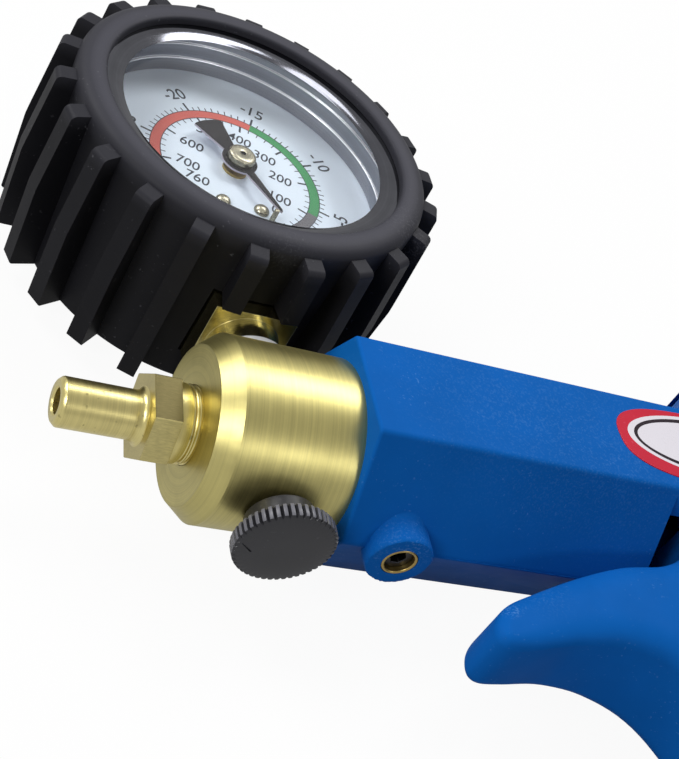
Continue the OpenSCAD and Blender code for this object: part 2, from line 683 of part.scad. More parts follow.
module gauge_lens() color([0.85, 0.9, 0.95, 0.35])
    zcyl(gauge_x, gauge_y, lens_z, lens_top_z, dial_r);

module lens_ring() color(chrome) gauge_ring(dial_z + seat_gap, lens_z - seat_gap, ring_in_r, dial_r);

module gauge_dial() color([0.9, 0.92, 0.96]) difference() {
    zcyl(gauge_x, gauge_y, dial_z - dial_t, dial_z, dial_r);
    zcyl(gauge_x, gauge_y, 0, dial_z + 1, bush_r + seat_gap);
    for (s = [-1, 1]) zcyl(gauge_x + s * stud_x, gauge_y - stud_y, 0, dial_z + 1, 0.85);
}

module dial_screws() color(chrome) for (s = [-1, 1])
    translate([gauge_x + s * stud_x, gauge_y - stud_y, 0]) {
        zcyl(0, 0, plate_high_z + plate_t, dial_z + 0.1, 0.8);
        translate([0, 0, dial_z + 0.02]) intersection() {
            translate([0, 0, -0.35]) sphere(r = 1.55, $fn = 32);
            zcyl(0, 0, 0, 2, 1.5);
        }
    }

// Post that stops the pointer just below zero
module stop_post() color(chrome)
    translate([gauge_x, gauge_y, dial_z + seat_gap]) rotate(dial_turn - stop_turn)
        translate([0, stop_r, 0]) cylinder(h = 2.6, r = 0.5, $fn = 32);

// Pointer with a fan-shaped tail, turned to the dial's zero
module pointer() color([0.2, 0.2, 0.2]) translate([gauge_x, gauge_y, pointer_z]) rotate(zero_turn)
    linear_extrude(pointer_t) difference() {
        union() {
            circle(r = hub_r);
            polygon([[-0.9, 3], [0.9, 3], [0.28, pointer_reach - 0.6], [0, pointer_reach],
                [-0.28, pointer_reach - 0.6]]);
            polygon(concat([[1.3, -3], [-1.3, -3]],
                [for (a = [-17:4.25:17]) tail_reach * [sin(a), -cos(a)]]));
        }
        circle(r = 0.7 + seat_gap / 2);
    }

module pointer_cap() color(chrome) translate([gauge_x, gauge_y, pointer_z + pointer_t]) difference() {
    union() {
        cylinder(h = 1.2, r = cap_r);
        translate([0, 0, 1.2]) cylinder(h = 0.5, r1 = cap_r, r2 = cap_r - 0.7);
    }
    translate([0, 0, -1]) cylinder(h = 1.9, r = 0.7 + seat_gap / 2);
}

// Flank angle of an involute tooth at radius r, measured from the middle of the tooth
function inv(a) = tan(a) * 180 / PI - a;
function flank(r, teeth) = let (rb = gear_m * teeth / 2 * cos(pressure))
    78 / teeth + inv(pressure) - (r > rb ? inv(acos(rb / r)) : 0);
function tooth(i, teeth) = let (rp = gear_m * teeth / 2, lo = rp - 1.15 * gear_m, hi = rp + 0.75 * gear_m,
        rr = [for (k = [0:4]) lo + (hi - lo) * k / 4], c = 360 * i / teeth)
    concat([for (k = [0:4]) rr[k] * [cos(c - flank(rr[k], teeth)), sin(c - flank(rr[k], teeth))]],
        [for (k = [4:-1:0]) rr[k] * [cos(c + flank(rr[k], teeth)), sin(c + flank(rr[k], teeth))]]);

module pointer_shaft() color(brass) {
    zcyl(gauge_x, gauge_y, plate_low_z - plate_t - 0.2, pointer_z + 1.2, 0.7);
    translate([gauge_x, gauge_y, gear_z - 0.6]) rotate(mesh_turn + 180 + 180 / pinion_teeth)
        linear_extrude(gear_t + 1.2) polygon([for (i = [0:pinion_teeth - 1]) each tooth(i, pinion_teeth)]);
}

module sector_gear() color(brass) translate([sector_x, sector_y, gear_z]) rotate(mesh_turn)
    linear_extrude(gear_t) difference() {
        polygon(concat([for (i = [-2:9]) each tooth(i, sector_teeth)],
            [for (a = [110:12:158]) 1.9 * [cos(a), sin(a)]], [[-4.4, 0.9], [-5.3, 0], [-4.4, -0.9]],
            [for (a = [202:12:250]) 1.9 * [cos(a), sin(a)]]));
        circle(r = 0.6 + run_gap, $fn = 32);
        polygon([for (a = [-2:6:40]) 7.8 * [cos(a), sin(a)], 3.6 * [cos(34), sin(34)], 3.6 * [1, 0.1]]);
    }

module sector_pin() color(steel)
    zcyl(sector_x, sector_y, plate_low_z + seat_gap, plate_high_z - seat_gap, 0.6);

module movement_plates() color(brass) {
    for (z = [plate_low_z - plate_t, plate_high_z]) difference() {
        translate([0, 0, z]) linear_extrude(plate_t) polygon([
            [gauge_x - plate_half, gauge_y - plate_drop], [gauge_x + plate_half, gauge_y - plate_drop],
            [gauge_x + plate_half, gauge_y + plate_rise], [gauge_x, gauge_y + 1.5 * plate_rise],
            [sector_x - 2.6, sector_y + plate_rise], [sector_x - 2.6, sector_y - 2.6]]);
        zcyl(gauge_x, gauge_y, z - 1, z + 2, 0.7 + run_gap);
    }
    difference() {
        zcyl(gauge_x, gauge_y, plate_high_z + plate_t - eps, dial_z + 0.5, bush_r);
        zcyl(gauge_x, gauge_y, plate_high_z, dial_z + 1, 0.7 + run_gap);
    }
    for (s = [-1, 1])
        zcyl(gauge_x + s * stud_x, gauge_y - stud_y, plate_low_z - eps, plate_high_z + eps, 1.3);
}

// C-shaped flattened tube from the stem's socket round to its free tip
module bourdon_tube() color(brass) translate([gauge_x, gauge_y, plate_low_z + 2]) rotate(tube_start)
    difference() {
        rotate_extrude(angle = tube_sweep)
            translate([tube_mean_r - tube_w / 2, -tube_h / 2]) square([tube_w, tube_h]);
        rotate([0, 0, 3]) rotate_extrude(angle = tube_sweep - 6)
            translate([tube_mean_r - tube_w / 2 + 0.4, -tube_h / 2 + 0.4])
                square([tube_w - 0.8, tube_h - 0.8]);
    }

// Strip from the tube's tip to the sector's tail
module tube_link() color(steel) {
    tip = [gauge_x + (tube_mean_r - 1.4) * cos(tube_start + tube_sweep - 3),
        gauge_y + (tube_mean_r - 1.4) * sin(tube_start + tube_sweep - 3)];
    tail = [sector_x - 4.4 * cos(mesh_turn), sector_y - 4.4 * sin(mesh_turn)];
    d = (tail - tip) / norm(tail - tip);
    n = [-d[1], d[0]] * 0.8;
    translate([0, 0, gear_z + gear_t + free_gap]) linear_extrude(0.6)
        polygon([tip + n, tail + d + n, tail + d - n, tip - n]);
}

// ---- lever ----

module lever() color(blue) difference() {
    rounded_slab(smooth(at_slot(lever_points), 3), lever_half, lever_round, lever_ease,
        nose_half / lever_half, slot_x - 40, slot_x - 5);
    zcyl(pivot_x, pivot_y, -lever_half - 1, lever_half + 1, pivot_r + run_gap);
    for (y = [-0.6, 0.6]) zcyl(pin_x, y, -lever_half - 1, lever_half + 1, rod_pin_r + rod_pin_gap);
    translate([pin_x - rod_pin_r - rod_pin_gap, -0.6, -lever_half - 1])
        cube([2 * (rod_pin_r + rod_pin_gap), 1.2, 2 * lever_half + 2]);
    translate([slot_x, -8, -eye_half - free_gap]) cube([pin_x - slot_x, 22, 2 * (eye_half + free_gap)]);
    zcyl(pin_x, 0, -eye_half - free_gap, eye_half + free_gap, eye_r + 1.6);
}

module pivot_pin() color(steel) difference() {
    union() {
        zcyl(pivot_x, pivot_y, 0.2 - cheek_z, cheek_z + 1, pivot_r);
        zcyl(pivot_x, pivot_y, cheek_z + seat_gap, cheek_z + 1.6, pivot_r + 1.6);
    }
    difference() {
        translate([0, 0, clip_recess - cheek_z - clip_t - 2 * seat_gap])
            zcyl(pivot_x, pivot_y, 0, clip_t + 2 * seat_gap, pivot_r + 1);
        zcyl(pivot_x, pivot_y, -body_half, 0, pivot_r - clip_groove);
    }
}

module pin_clip() color(steel) translate([pivot_x, pivot_y, clip_recess - cheek_z - clip_t - seat_gap])
    linear_extrude(clip_t) difference() {
        circle(r = pivot_r + 2.2);
        circle(r = pivot_r - clip_groove + seat_gap);
        translate([-pivot_r * 0.7, 0]) square([pivot_r * 1.4, pivot_r + 4]);
    }

pump_body();
clamp_insert();
clamp_screw();
brass_head();
hose_nipple();
head_o_ring();
cylinder_tube();
cylinder_guide();
check_ball();
check_spring();
check_retainer();
piston();
piston_seal();
piston_washer();
piston_rod();
rod_pin();
return_spring();
release_knob();
release_spindle();
release_o_ring();
release_pad();
gauge_stem();
stem_washer();
gauge_case();
gauge_boot();
gauge_bezel();
gauge_lens();
lens_ring();
gauge_dial();
dial_screws();
stop_post();
pointer();
pointer_cap();
pointer_shaft();
movement_plates();
sector_gear();
sector_pin();
bourdon_tube();
tube_link();
lever();
pivot_pin();
pin_clip();
badge();
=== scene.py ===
import math
import random
import bmesh
import bpy
from mathutils import Matrix, Vector
from mathutils.geometry import delaunay_2d_cdt


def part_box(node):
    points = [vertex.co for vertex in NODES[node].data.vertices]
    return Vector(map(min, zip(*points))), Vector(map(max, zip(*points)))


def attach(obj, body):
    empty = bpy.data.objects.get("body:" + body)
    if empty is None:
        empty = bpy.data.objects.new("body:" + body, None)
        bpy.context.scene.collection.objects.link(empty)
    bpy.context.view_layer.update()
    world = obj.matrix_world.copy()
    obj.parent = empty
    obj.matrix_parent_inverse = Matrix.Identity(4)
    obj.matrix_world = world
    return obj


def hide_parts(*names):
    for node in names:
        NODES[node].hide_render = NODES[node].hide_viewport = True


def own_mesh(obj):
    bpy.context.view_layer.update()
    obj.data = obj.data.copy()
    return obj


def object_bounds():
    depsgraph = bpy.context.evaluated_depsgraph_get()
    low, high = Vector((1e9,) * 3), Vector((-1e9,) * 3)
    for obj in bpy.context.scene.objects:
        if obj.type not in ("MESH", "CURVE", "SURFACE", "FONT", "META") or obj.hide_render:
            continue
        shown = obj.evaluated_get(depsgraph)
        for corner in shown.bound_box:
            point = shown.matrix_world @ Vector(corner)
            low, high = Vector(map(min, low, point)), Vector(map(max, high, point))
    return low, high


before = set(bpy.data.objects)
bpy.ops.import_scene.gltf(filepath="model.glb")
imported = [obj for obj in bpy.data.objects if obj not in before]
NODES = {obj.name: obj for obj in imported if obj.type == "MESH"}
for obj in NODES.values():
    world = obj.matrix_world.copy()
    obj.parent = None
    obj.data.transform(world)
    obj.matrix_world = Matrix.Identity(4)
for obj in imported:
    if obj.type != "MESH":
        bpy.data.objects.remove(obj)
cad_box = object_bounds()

MM = 0.001
scene = bpy.context.scene
scene.view_settings.view_transform = "Standard"

# ---------------------------------------------------------------- materials


def lin(rgb):
    """sRGB 0..255 to a linear colour."""
    out = []
    for c in rgb:
        c = c / 255.0
        out.append(c / 12.92 if c <= 0.04045 else ((c + 0.055) / 1.055) ** 2.4)
    return (*out, 1.0)


def shade(color, k):
    return tuple(min(1.0, c * k) for c in color[:3]) + (1.0,)


class Mat:
    """A Principled material with a few short-hands for its node tree."""

    def __init__(self, name, color, metallic=0.0, rough=0.5, **sockets):
        self.mat = bpy.data.materials.new(name)
        self.mat.use_nodes = True
        self.tree = self.mat.node_tree
        self.bsdf = self.tree.nodes["Principled BSDF"]
        self.set("Base Color", color)
        self.set("Metallic", metallic)
        self.set("Roughness", rough)
        for key, value in sockets.items():
            self.set(key.replace("_", " "), value)
        self.coord = self.node("ShaderNodeTexCoord").outputs["Object"]

    def node(self, kind, **props):
        n = self.tree.nodes.new(kind)
        for key, value in props.items():
            setattr(n, key, value)
        return n

    def set(self, socket, value):
        self.bsdf.inputs[socket].default_value = value

    def link(self, a, b):
        self.tree.links.new(a, b)

    def noise(self, scale, detail=3.0, rough=0.5, vector=None, stretch=None):
        n = self.node("ShaderNodeTexNoise")
        n.inputs["Scale"].default_value = scale
        n.inputs["Detail"].default_value = detail
        n.inputs["Roughness"].default_value = rough
        v = vector or self.coord
        if stretch:
            m = self.node("ShaderNodeMapping")
            m.inputs["Scale"].default_value = stretch
            self.link(v, m.inputs["Vector"])
            v = m.outputs["Vector"]
        self.link(v, n.inputs["Vector"])
        return n.outputs["Fac"]

    def ramp(self, fac, stops):
        r = self.node("ShaderNodeValToRGB")
        ramp = r.color_ramp
        while len(ramp.elements) < len(stops):
            ramp.elements.new(0.5)
        for e, (pos, col) in zip(ramp.elements, stops):
            e.position = pos
            e.color = col if isinstance(col, tuple) else (col, col, col, 1)
        self.link(fac, r.inputs["Fac"])
        return r.outputs["Color"]

    def mix(self, fac, a, b):
        m = self.node("ShaderNodeMix", data_type="RGBA", blend_type="MIX")
        for socket, value in ((m.inputs[0], fac), (m.inputs[6], a), (m.inputs[7], b)):
            if isinstance(value, (tuple, float, int)):
                socket.default_value = value
            else:
                self.link(value, socket)
        return m.outputs[2]

    def math(self, op, a, b=0.0, clamp=False):
        m = self.node("ShaderNodeMath", operation=op)
        m.use_clamp = clamp
        for socket, value in ((m.inputs[0], a), (m.inputs[1], b)):
            if isinstance(value, (int, float)):
                socket.default_value = value
            else:
                self.link(value, socket)
        return m.outputs[0]

    def near(self, place, radius):
        """1 at a place (mm), falling to 0 at radius (mm)."""
        d = self.node("ShaderNodeVectorMath", operation="DISTANCE")
        self.link(self.coord, d.inputs[0])
        d.inputs[1].default_value = [c * MM for c in place]
        return self.math("SUBTRACT", 1.0, self.math("DIVIDE", d.outputs["Value"], radius * MM), True)

    def height(self, low, high):
        """0 below one height (mm), 1 above the other."""
        sep = self.node("ShaderNodeSeparateXYZ")
        self.link(self.coord, sep.inputs[0])
        m = self.node("ShaderNodeMapRange")
        m.inputs["From Min"].default_value = low * MM
        m.inputs["From Max"].default_value = high * MM
        self.link(sep.outputs[2], m.inputs["Value"])
        return m.outputs[0]

    def bump(self, height, strength, distance=0.0001, before=None):
        b = self.node("ShaderNodeBump")
        b.inputs["Strength"].default_value = strength
        b.inputs["Distance"].default_value = distance
        self.link(height, b.inputs["Height"])
        if before:
            self.link(before, b.inputs["Normal"])
        self.link(b.outputs["Normal"], self.bsdf.inputs["Normal"])
        return b.outputs["Normal"]

    def color(self, socket):
        self.link(socket, self.bsdf.inputs["Base Color"])

    def rough(self, fac, low, high):
        m = self.node("ShaderNodeMapRange")
        m.inputs["To Min"].default_value = low
        m.inputs["To Max"].default_value = high
        self.link(fac, m.inputs["Value"])
        self.link(m.outputs[0], self.bsdf.inputs["Roughness"])


def turned(name, color, centre, axis, rough=(0.2, 0.4), marks=1.0, cloud=0.12, pits=0.0):
    """Metal turned on a lathe: fine rings about an axis through centre (mm), faint clouding, small pits."""
    m = Mat(name, color, 1.0, 0.3)
    sub = m.node("ShaderNodeVectorMath", operation="SUBTRACT")
    m.link(m.coord, sub.inputs[0])
    sub.inputs[1].default_value = [c * MM for c in centre]
    sep = m.node("ShaderNodeSeparateXYZ")
    m.link(sub.outputs[0], sep.inputs[0])
    along = sep.outputs[axis]
    a, b = [sep.outputs[i] for i in range(3) if i != axis]
    radius = m.math("SQRT", m.math("ADD", m.math("MULTIPLY", a, a), m.math("MULTIPLY", b, b)))
    comb = m.node("ShaderNodeCombineXYZ")
    m.link(along, comb.inputs[0])
    m.link(radius, comb.inputs[1])
    rings = m.noise(5200, 4, 0.65, comb.outputs[0])
    wide = m.noise(1100, 2, 0.5, comb.outputs[0])
    broad = m.noise(160, 3, 0.6)
    fine = m.noise(2600, 2, 0.5)
    both = m.math("ADD", m.math("MULTIPLY", rings, 0.65), m.math("MULTIPLY", wide, 0.35))
    tone = m.mix(m.ramp(both, [(0.35, 0.0), (0.65, 1.0)]), shade(color, 0.84), shade(color, 1.1))
    tone = m.mix(m.math("MULTIPLY", m.ramp(broad, [(0.42, 0.0), (0.7, 1.0)]), cloud), tone, shade(color, 0.45))
    if pits:
        spot = m.ramp(m.noise(900, 1, 0.5), [(0.70, 0.0), (0.76, 1.0)])
        tone = m.mix(m.math("MULTIPLY", spot, pits), tone, shade(color, 0.3))
    m.color(tone)
    m.rough(m.math("ADD", m.math("MULTIPLY", both, 0.6), m.math("MULTIPLY", broad, 0.4)), *rough)
    first = m.bump(both, 0.35 * marks, 0.00002)
    m.bump(fine, 0.10 * marks, 0.00002, first)
    return m.mat


def brushed(name, color, stretch, rough=(0.25, 0.42)):
    """Milled or drawn metal with straight marks."""
    m = Mat(name, color, 1.0, 0.3)
    lines = m.noise(900, 4, 0.6, stretch=stretch)
    broad = m.noise(240, 3, 0.6)
    tone = m.mix(m.ramp(lines, [(0.3, 0.0), (0.7, 1.0)]), shade(color, 0.8), shade(color, 1.1))
    tone = m.mix(m.math("MULTIPLY", m.ramp(broad, [(0.45, 0.0), (0.75, 1.0)]), 0.3), tone, shade(color, 0.5))
    m.color(tone)
    m.rough(lines, *rough)
    m.bump(lines, 0.25, 0.00002)
    return m.mat


def moulded(name, color, rough=(0.38, 0.55), grain=0.2, fleck=None, fleck_amount=0.35, flow=0.12,
            spec=0.35, scuffs=(), flecks=(900, 0.66, 0.74), top=None):
    """Injection-moulded plastic or rubber: soft tone changes, fine grain, a few pale scuffs; with top, a painted
    highlight that lightens it towards the top.
    """
    m = Mat(name, color, 0.0, 0.45, Specular_IOR_Level=spec)
    broad = m.noise(45, 4, 0.6)
    tone = m.mix(m.ramp(broad, [(0.3, 0.0), (0.7, 1.0)]), shade(color, 1 - flow), shade(color, 1 + flow))
    # painted highlight: the colour lightens with height, towards top's colour
    if top:
        tone = m.mix(m.ramp(m.height(*top[:2]), top[3]), tone, top[2])
    if fleck:
        specks = m.ramp(m.noise(flecks[0], 2, 0.5), [(flecks[1], 0.0), (flecks[2], 1.0)])
        where = m.ramp(m.noise(85, 3, 0.6), [(0.45, 0.0), (0.62, 1.0)])
        tone = m.mix(m.math("MULTIPLY", m.math("MULTIPLY", specks, where), fleck_amount), tone, fleck)
    for place, radius, amount in scuffs:
        rub = m.ramp(m.noise(2400, 3, 0.6), [(0.52, 0.0), (0.64, 1.0)])
        tone = m.mix(m.math("MULTIPLY", m.math("MULTIPLY", m.near(place, radius), rub), amount), tone,
                     fleck)
    m.color(tone)
    m.rough(m.noise(300, 3, 0.6), *rough)
    first = m.bump(m.noise(1500, 3, 0.55), grain, 0.00003)
    m.bump(m.noise(220, 3, 0.5), grain * 0.7, 0.00008, first)
    return m.mat


PALE_BLUE = lin((122, 176, 232))
blue = moulded("blue_plastic", lin((14, 94, 177)), (0.44, 0.58), 0.22, PALE_BLUE, 0.22, 0.08, 0.02,
               (((69.3, -31.9, 7.6), 3.0, 0.8), ((76.0, -28.5, 8.5), 7.0, 0.10), ((95.0, -4.0, 17.3), 26.0, 0.10),
                ((70.0, 2.0, 17.3), 26.0, 0.10), ((55.5, -21.5, 2.5), 6.5, 0.30)), (1600, 0.66, 0.74))
# the boot rubber gets a painted highlight on the crown of its ring, lighter towards z 21.6
rubber = moulded("boot_rubber", lin((25, 25, 29)), (0.46, 0.58), 0.3, lin((110, 110, 116)), 0.4, 0.16, 0.13,
                 (((61, 38, 21), 9.0, 0.35), ((34, 24, 21), 8.0, 0.15)), (1100, 0.68, 0.74),
                 (17.0, 21.6, lin((72, 72, 80)), [(0.0, 0.0), (0.55, 0.30), (0.80, 0.40), (0.95, 0.62), (1.0, 1.0)]))
black = moulded("black_plastic", lin((44, 44, 48)), (0.30, 0.42), 0.2, lin((120, 120, 124)), 0.2, 0.08, 0.4)
# lighter copy of the knob black for the knurl crests: wear and a painted highlight
crest_wear_and_highlight = moulded("crest_wear_and_highlight", lin((104, 104, 111)), (0.30, 0.42), 0.2, spec=0.4)
seal = moulded("seal_rubber", lin((30, 30, 31)), (0.45, 0.6), 0.2)
white = moulded("white_plastic", lin((232, 233, 238)), (0.35, 0.5), 0.1, None, 0, 0.03)
head_brass = turned("head_brass", lin((203, 192, 126)), (0, 0, 0), 0, (0.31, 0.45), 1.2, 0.18)
nipple_brass = turned("nipple_brass", lin((226, 212, 144)), (0, 0, 0), 0, (0.24, 0.38), 1.0, 0.12, 0.5)
hex_brass = brushed("hex_brass", lin((206, 193, 132)), (1, 6, 6), (0.3, 0.42))
# painted shade: a darker copy of the hex brass for the hexagon's upper face
hex_painted_shade = brushed("hex_painted_shade", lin((104, 96, 64)), (1, 6, 6), (0.34, 0.46))
stem_brass = brushed("stem_brass", lin((208, 198, 146)), (1, 5, 1), (0.14, 0.3))
dull_brass = brushed("dull_brass", lin((176, 152, 92)), (1, 1, 5), (0.3, 0.45))
steel = brushed("steel", lin((136, 138, 142)), (1, 1, 6), (0.22, 0.38))
rod_steel = turned("rod_steel", lin((190, 192, 196)), (0, 0, 0), 0, (0.15, 0.3))
alloy = turned("piston_alloy", lin((196, 198, 202)), (0, 0, 0), 0, (0.25, 0.4))
chrome = turned("chrome", lin((112, 113, 120)), (34, 57.2, 0), 2, (0.05, 0.14), 0.6, 0.3)
# near-white metal for the lens ring's two ledges: a painted highlight
ledge_painted_highlight = turned("ledge_painted_highlight", lin((232, 233, 238)), (34, 57.2, 0), 2, (0.25, 0.4), 0.3, 0.0)
ring_grey = turned("ring_grey", lin((150, 151, 158)), (34, 57.2, 0), 2, (0.26, 0.4), 0.5, 0.1)
dark_steel = brushed("dark_steel", lin((62, 62, 66)), (1, 1, 6), (0.3, 0.45))
cap_metal = turned("cap_metal", lin((150, 146, 128)), (34, 57.2, 0), 2, (0.2, 0.34), 0.7)
print_black = moulded("print_black", lin((52, 56, 66)), (0.5, 0.6), 0.05, spec=0.15)
print_red = moulded("print_red", lin((205, 104, 94)), (0.45, 0.55), 0.05, spec=0.15)
print_green = moulded("print_green", lin((72, 146, 94)), (0.45, 0.55), 0.05, spec=0.15)
print_grey = moulded("print_grey", lin((108, 106, 110)), (0.45, 0.55), 0.05, spec=0.15)
dial_white = moulded("dial_white", lin((232, 243, 255)), (0.5, 0.6), 0.04, None, 0, 0.02, 0.2)
pointer_black = moulded("pointer_black", lin((50, 49, 51)), (0.5, 0.6), 0.15, spec=0.05)
pointer_edge = moulded("pointer_edge", lin((176, 170, 182)), (0.35, 0.5), 0.1)
badge_red = moulded("badge_red", lin((198, 26, 54)), (0.26, 0.34), 0.03, lin((226, 90, 110)), 0.3, 0.05, 0.12)
badge_pale = moulded("badge_pale", lin((226, 222, 230)), (0.24, 0.32), 0.03, None, 0, 0.02)
badge_black = moulded("badge_black", lin((36, 24, 34)), (0.26, 0.36), 0.03, spec=0.1)

glass = Mat("lens_glass", (1, 1, 1, 1), 0.0, 0.0, IOR=1.03, Transmission_Weight=1.0, Coat_Weight=0.5, Coat_IOR=1.35,
            Coat_Roughness=0.0)
clear = glass.node("ShaderNodeBsdfTransparent")
clear.inputs[0].default_value = (0.96, 0.97, 0.98, 1)
blend = glass.node("ShaderNodeMixShader")
path = glass.node("ShaderNodeLightPath")
glass.link(glass.math("MAXIMUM", path.outputs["Is Shadow Ray"], path.outputs["Is Diffuse Ray"]), blend.inputs[0])
glass.link(glass.bsdf.outputs[0], blend.inputs[1])
glass.link(clear.outputs[0], blend.inputs[2])
glass.link(blend.outputs[0], glass.tree.nodes["Material Output"].inputs["Surface"])
glass.bump(glass.noise(300, 2), 0.01, 0.00001)

# ---------------------------------------------------------------- mesh helpers


def finish_mesh(name, mesh, body, mats, angle=32.0, stands_for=()):
    obj = bpy.data.objects.new(name, mesh)
    scene.collection.objects.link(obj)
    for m in mats if isinstance(mats, (list, tuple)) else [mats]:
        mesh.materials.append(m)
    for p in mesh.polygons:
        p.use_smooth = True
    if angle is not None:
        mesh.set_sharp_from_angle(angle=math.radians(angle))
    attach(obj, body)
    if stands_for:
        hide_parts(*stands_for)
    return obj


def from_bmesh(name, bm, body, mats, angle=32.0, stands_for=(), weighted=True):
    bmesh.ops.recalc_face_normals(bm, faces=bm.faces)
    mesh = bpy.data.meshes.new(name)
    bm.to_mesh(mesh)
    bm.free()
    obj = finish_mesh(name, mesh, body, mats, angle, stands_for)
    if weighted:
        obj.modifiers.new("normals", "WEIGHTED_NORMAL").keep_sharp = True
    return obj


def dressed(node, body, mat, width=0.0, segments=2, angle=30.0, name=None, turn=0.6):
    """A fine copy of a CAD node, welded, with its flat faces joined and its edges eased."""
    bm = bmesh.new()
    bm.from_mesh(NODES[node].data)
    bmesh.ops.remove_doubles(bm, verts=bm.verts, dist=2e-6)
    if turn:
        bmesh.ops.dissolve_limit(bm, angle_limit=math.radians(turn), verts=bm.verts, edges=bm.edges)
    obj = from_bmesh(name or node + "_finish", bm, body, mat, angle, (node,), not width)
    if width:
        b = obj.modifiers.new("bevel", "BEVEL")
        b.width = width * MM
        b.segments = segments
        b.limit_method = "ANGLE"
        b.angle_limit = math.radians(angle)
        obj.modifiers.new("normals", "WEIGHTED_NORMAL").keep_sharp = True
    return obj


def plain(node, mat):
    """A CAD node kept as it is, with a better material."""
    if not NODES[node].data.materials:
        NODES[node].data.materials.append(mat)
    for s in NODES[node].material_slots:
        s.material = mat


def loft(bm, rings):
    """A closed solid through rings of points (mm), with flat ends."""
    loops = [[bm.verts.new(Vector(p) * MM) for p in ring] for ring in rings]
    n = len(loops[0])
    faces = [bm.faces.new(loops[0][::-1]), bm.faces.new(loops[-1])]
    for a, b in zip(loops, loops[1:]):
        for i in range(n):
            j = (i + 1) % n
            faces.append(bm.faces.new([a[i], a[j], b[j], b[i]]))
    return faces


def revolve(bm, profile, centre, axis, steps=128, radius=None):
    """Closed ring of profile points (r, along) turned about an axis; a point at r 0 becomes a pole."""
    base = Vector(centre)
    e = [Vector((1, 0, 0)), Vector((0, 1, 0)), Vector((0, 0, 1))]
    w, u, v = e[axis], e[(axis + 1) % 3], e[(axis + 2) % 3]
    loops = []
    for k, (r, z) in enumerate(profile):
        if r < 1e-6:
            loops.append([bm.verts.new((base + w * z) * MM)])
            continue
        ring = []
        for i in range(steps):
            t = 2 * math.pi * i / steps
            q = radius(k, r, t) if radius else r
            ring.append(bm.verts.new((base + w * z + u * (q * math.cos(t)) + v * (q * math.sin(t))) * MM))
        loops.append(ring)
    n = len(loops)
    for k in range(n):
        a, b = loops[k], loops[(k + 1) % n]
        if len(a) == 1 and len(b) == 1:
            continue
        for i in range(steps):
            j = (i + 1) % steps
            quad = [a[i % len(a)], a[j % len(a)], b[j % len(b)], b[i % len(b)]]
            quad = [x for m, x in enumerate(quad) if x not in quad[:m]]
            if len(quad) > 2:
                bm.faces.new(quad)


def lathe(profile, centre, axis, steps=128, radius=None):
    bm = bmesh.new()
    revolve(bm, profile, centre, axis, steps, radius)
    bmesh.ops.recalc_face_normals(bm, faces=bm.faces)
    return bm


def rod(a, b, r, steps=48):
    """A cylinder between two points (mm) along X, Y or Z, as a tool for cutting."""
    axis = max(range(3), key=lambda i: abs(b[i] - a[i]))
    base = [0 if i == axis else a[i] for i in range(3)]
    return lathe([(0, a[axis]), (r, a[axis]), (r, b[axis]), (0, b[axis])], base, axis, steps)


def block(low, high, round_=0.0, segments=2):
    """A box between two corners (mm), its edges rounded."""
    bm = bmesh.new()
    x0, y0, z0 = low
    x1, y1, z1 = high
    loft(bm, [[(x0, y0, z), (x1, y0, z), (x1, y1, z), (x0, y1, z)] for z in (z0, z1)])
    if round_:
        bmesh.ops.bevel(bm, geom=list(bm.edges), offset=round_ * MM, segments=segments, affect="EDGES",
                        profile=0.5)
    return bm


def combine(bm, steps):
    """bm joined with or cut by each (operation, tool) in turn; the tools are used up."""
    made = []
    for b in [bm] + [t for _, t in steps]:
        bmesh.ops.recalc_face_normals(b, faces=b.faces)
        mesh = bpy.data.meshes.new("tool")
        b.to_mesh(mesh)
        b.free()
        obj = bpy.data.objects.new("tool", mesh)
        scene.collection.objects.link(obj)
        made.append(obj)
    for (operation, _), tool in zip(steps, made[1:]):
        mod = made[0].modifiers.new("cut", "BOOLEAN")
        mod.operation = operation
        mod.solver = "MANIFOLD"
        mod.object = tool
    bpy.context.view_layer.update()
    mesh = bpy.data.meshes.new_from_object(made[0].evaluated_get(bpy.context.evaluated_depsgraph_get()))
    out = bmesh.new()
    out.from_mesh(mesh)
    for o in made:
        old = o.data
        bpy.data.objects.remove(o)
        bpy.data.meshes.remove(old)
    bpy.data.meshes.remove(mesh)
    return out


def join(bm, other):
    """The other bmesh's faces added to bm."""
    mesh = bpy.data.meshes.new("part")
    other.to_mesh(mesh)
    other.free()
    bm.from_mesh(mesh)
    bpy.data.meshes.remove(mesh)


def ease(bm, width, test, segments=2, angle=30.0):
    """Rounds the sharp edges whose middle (mm) passes the test."""
    picked = []
    for e in bm.edges:
        if len(e.link_faces) == 2 and e.calc_length() > 0.05 * MM:
            if e.calc_face_angle(0) > math.radians(angle) and test((e.verts[0].co + e.verts[1].co) / (2 * MM)):
                picked.append(e)
    if picked:
        bmesh.ops.bevel(bm, geom=picked, offset=width * MM, segments=segments, affect="EDGES", profile=0.5,
                        clamp_overlap=True)


# ---------------------------------------------------------------- outlines


def smooth(p, n):
    """Smooth closed curve through the points, n steps to each span."""
    out, m = [], len(p)
    for i in range(m):
        a, b, c, d = (Vector(p[(i + k) % m]) for k in (-1, 0, 1, 2))
        for k in range(n):
            t = k / n
            out.append(0.5 * (2 * b + (c - a) * t + (2 * a - 5 * b + 4 * c - d) * t * t
                              + (3 * b - a - 3 * c + d) * t * t * t))
    return out


def share(x, tip, x0, x1):
    t = max(0.0, min(1.0, (x - x0) / (x1 - x0)))
    return tip + (1 - tip) * t * t * (3 - 2 * t)


def inset(p, d, scale=None):
    """The clockwise outline moved inward by d, or by d times scale(x)."""
    out = []
    for i, v in enumerate(p):
        t = (p[(i + 1) % len(p)] - p[i - 1]).normalized()
        out.append(v + Vector((t[1], -t[0])) * d * (scale(v[0]) if scale else 1.0))
    return out


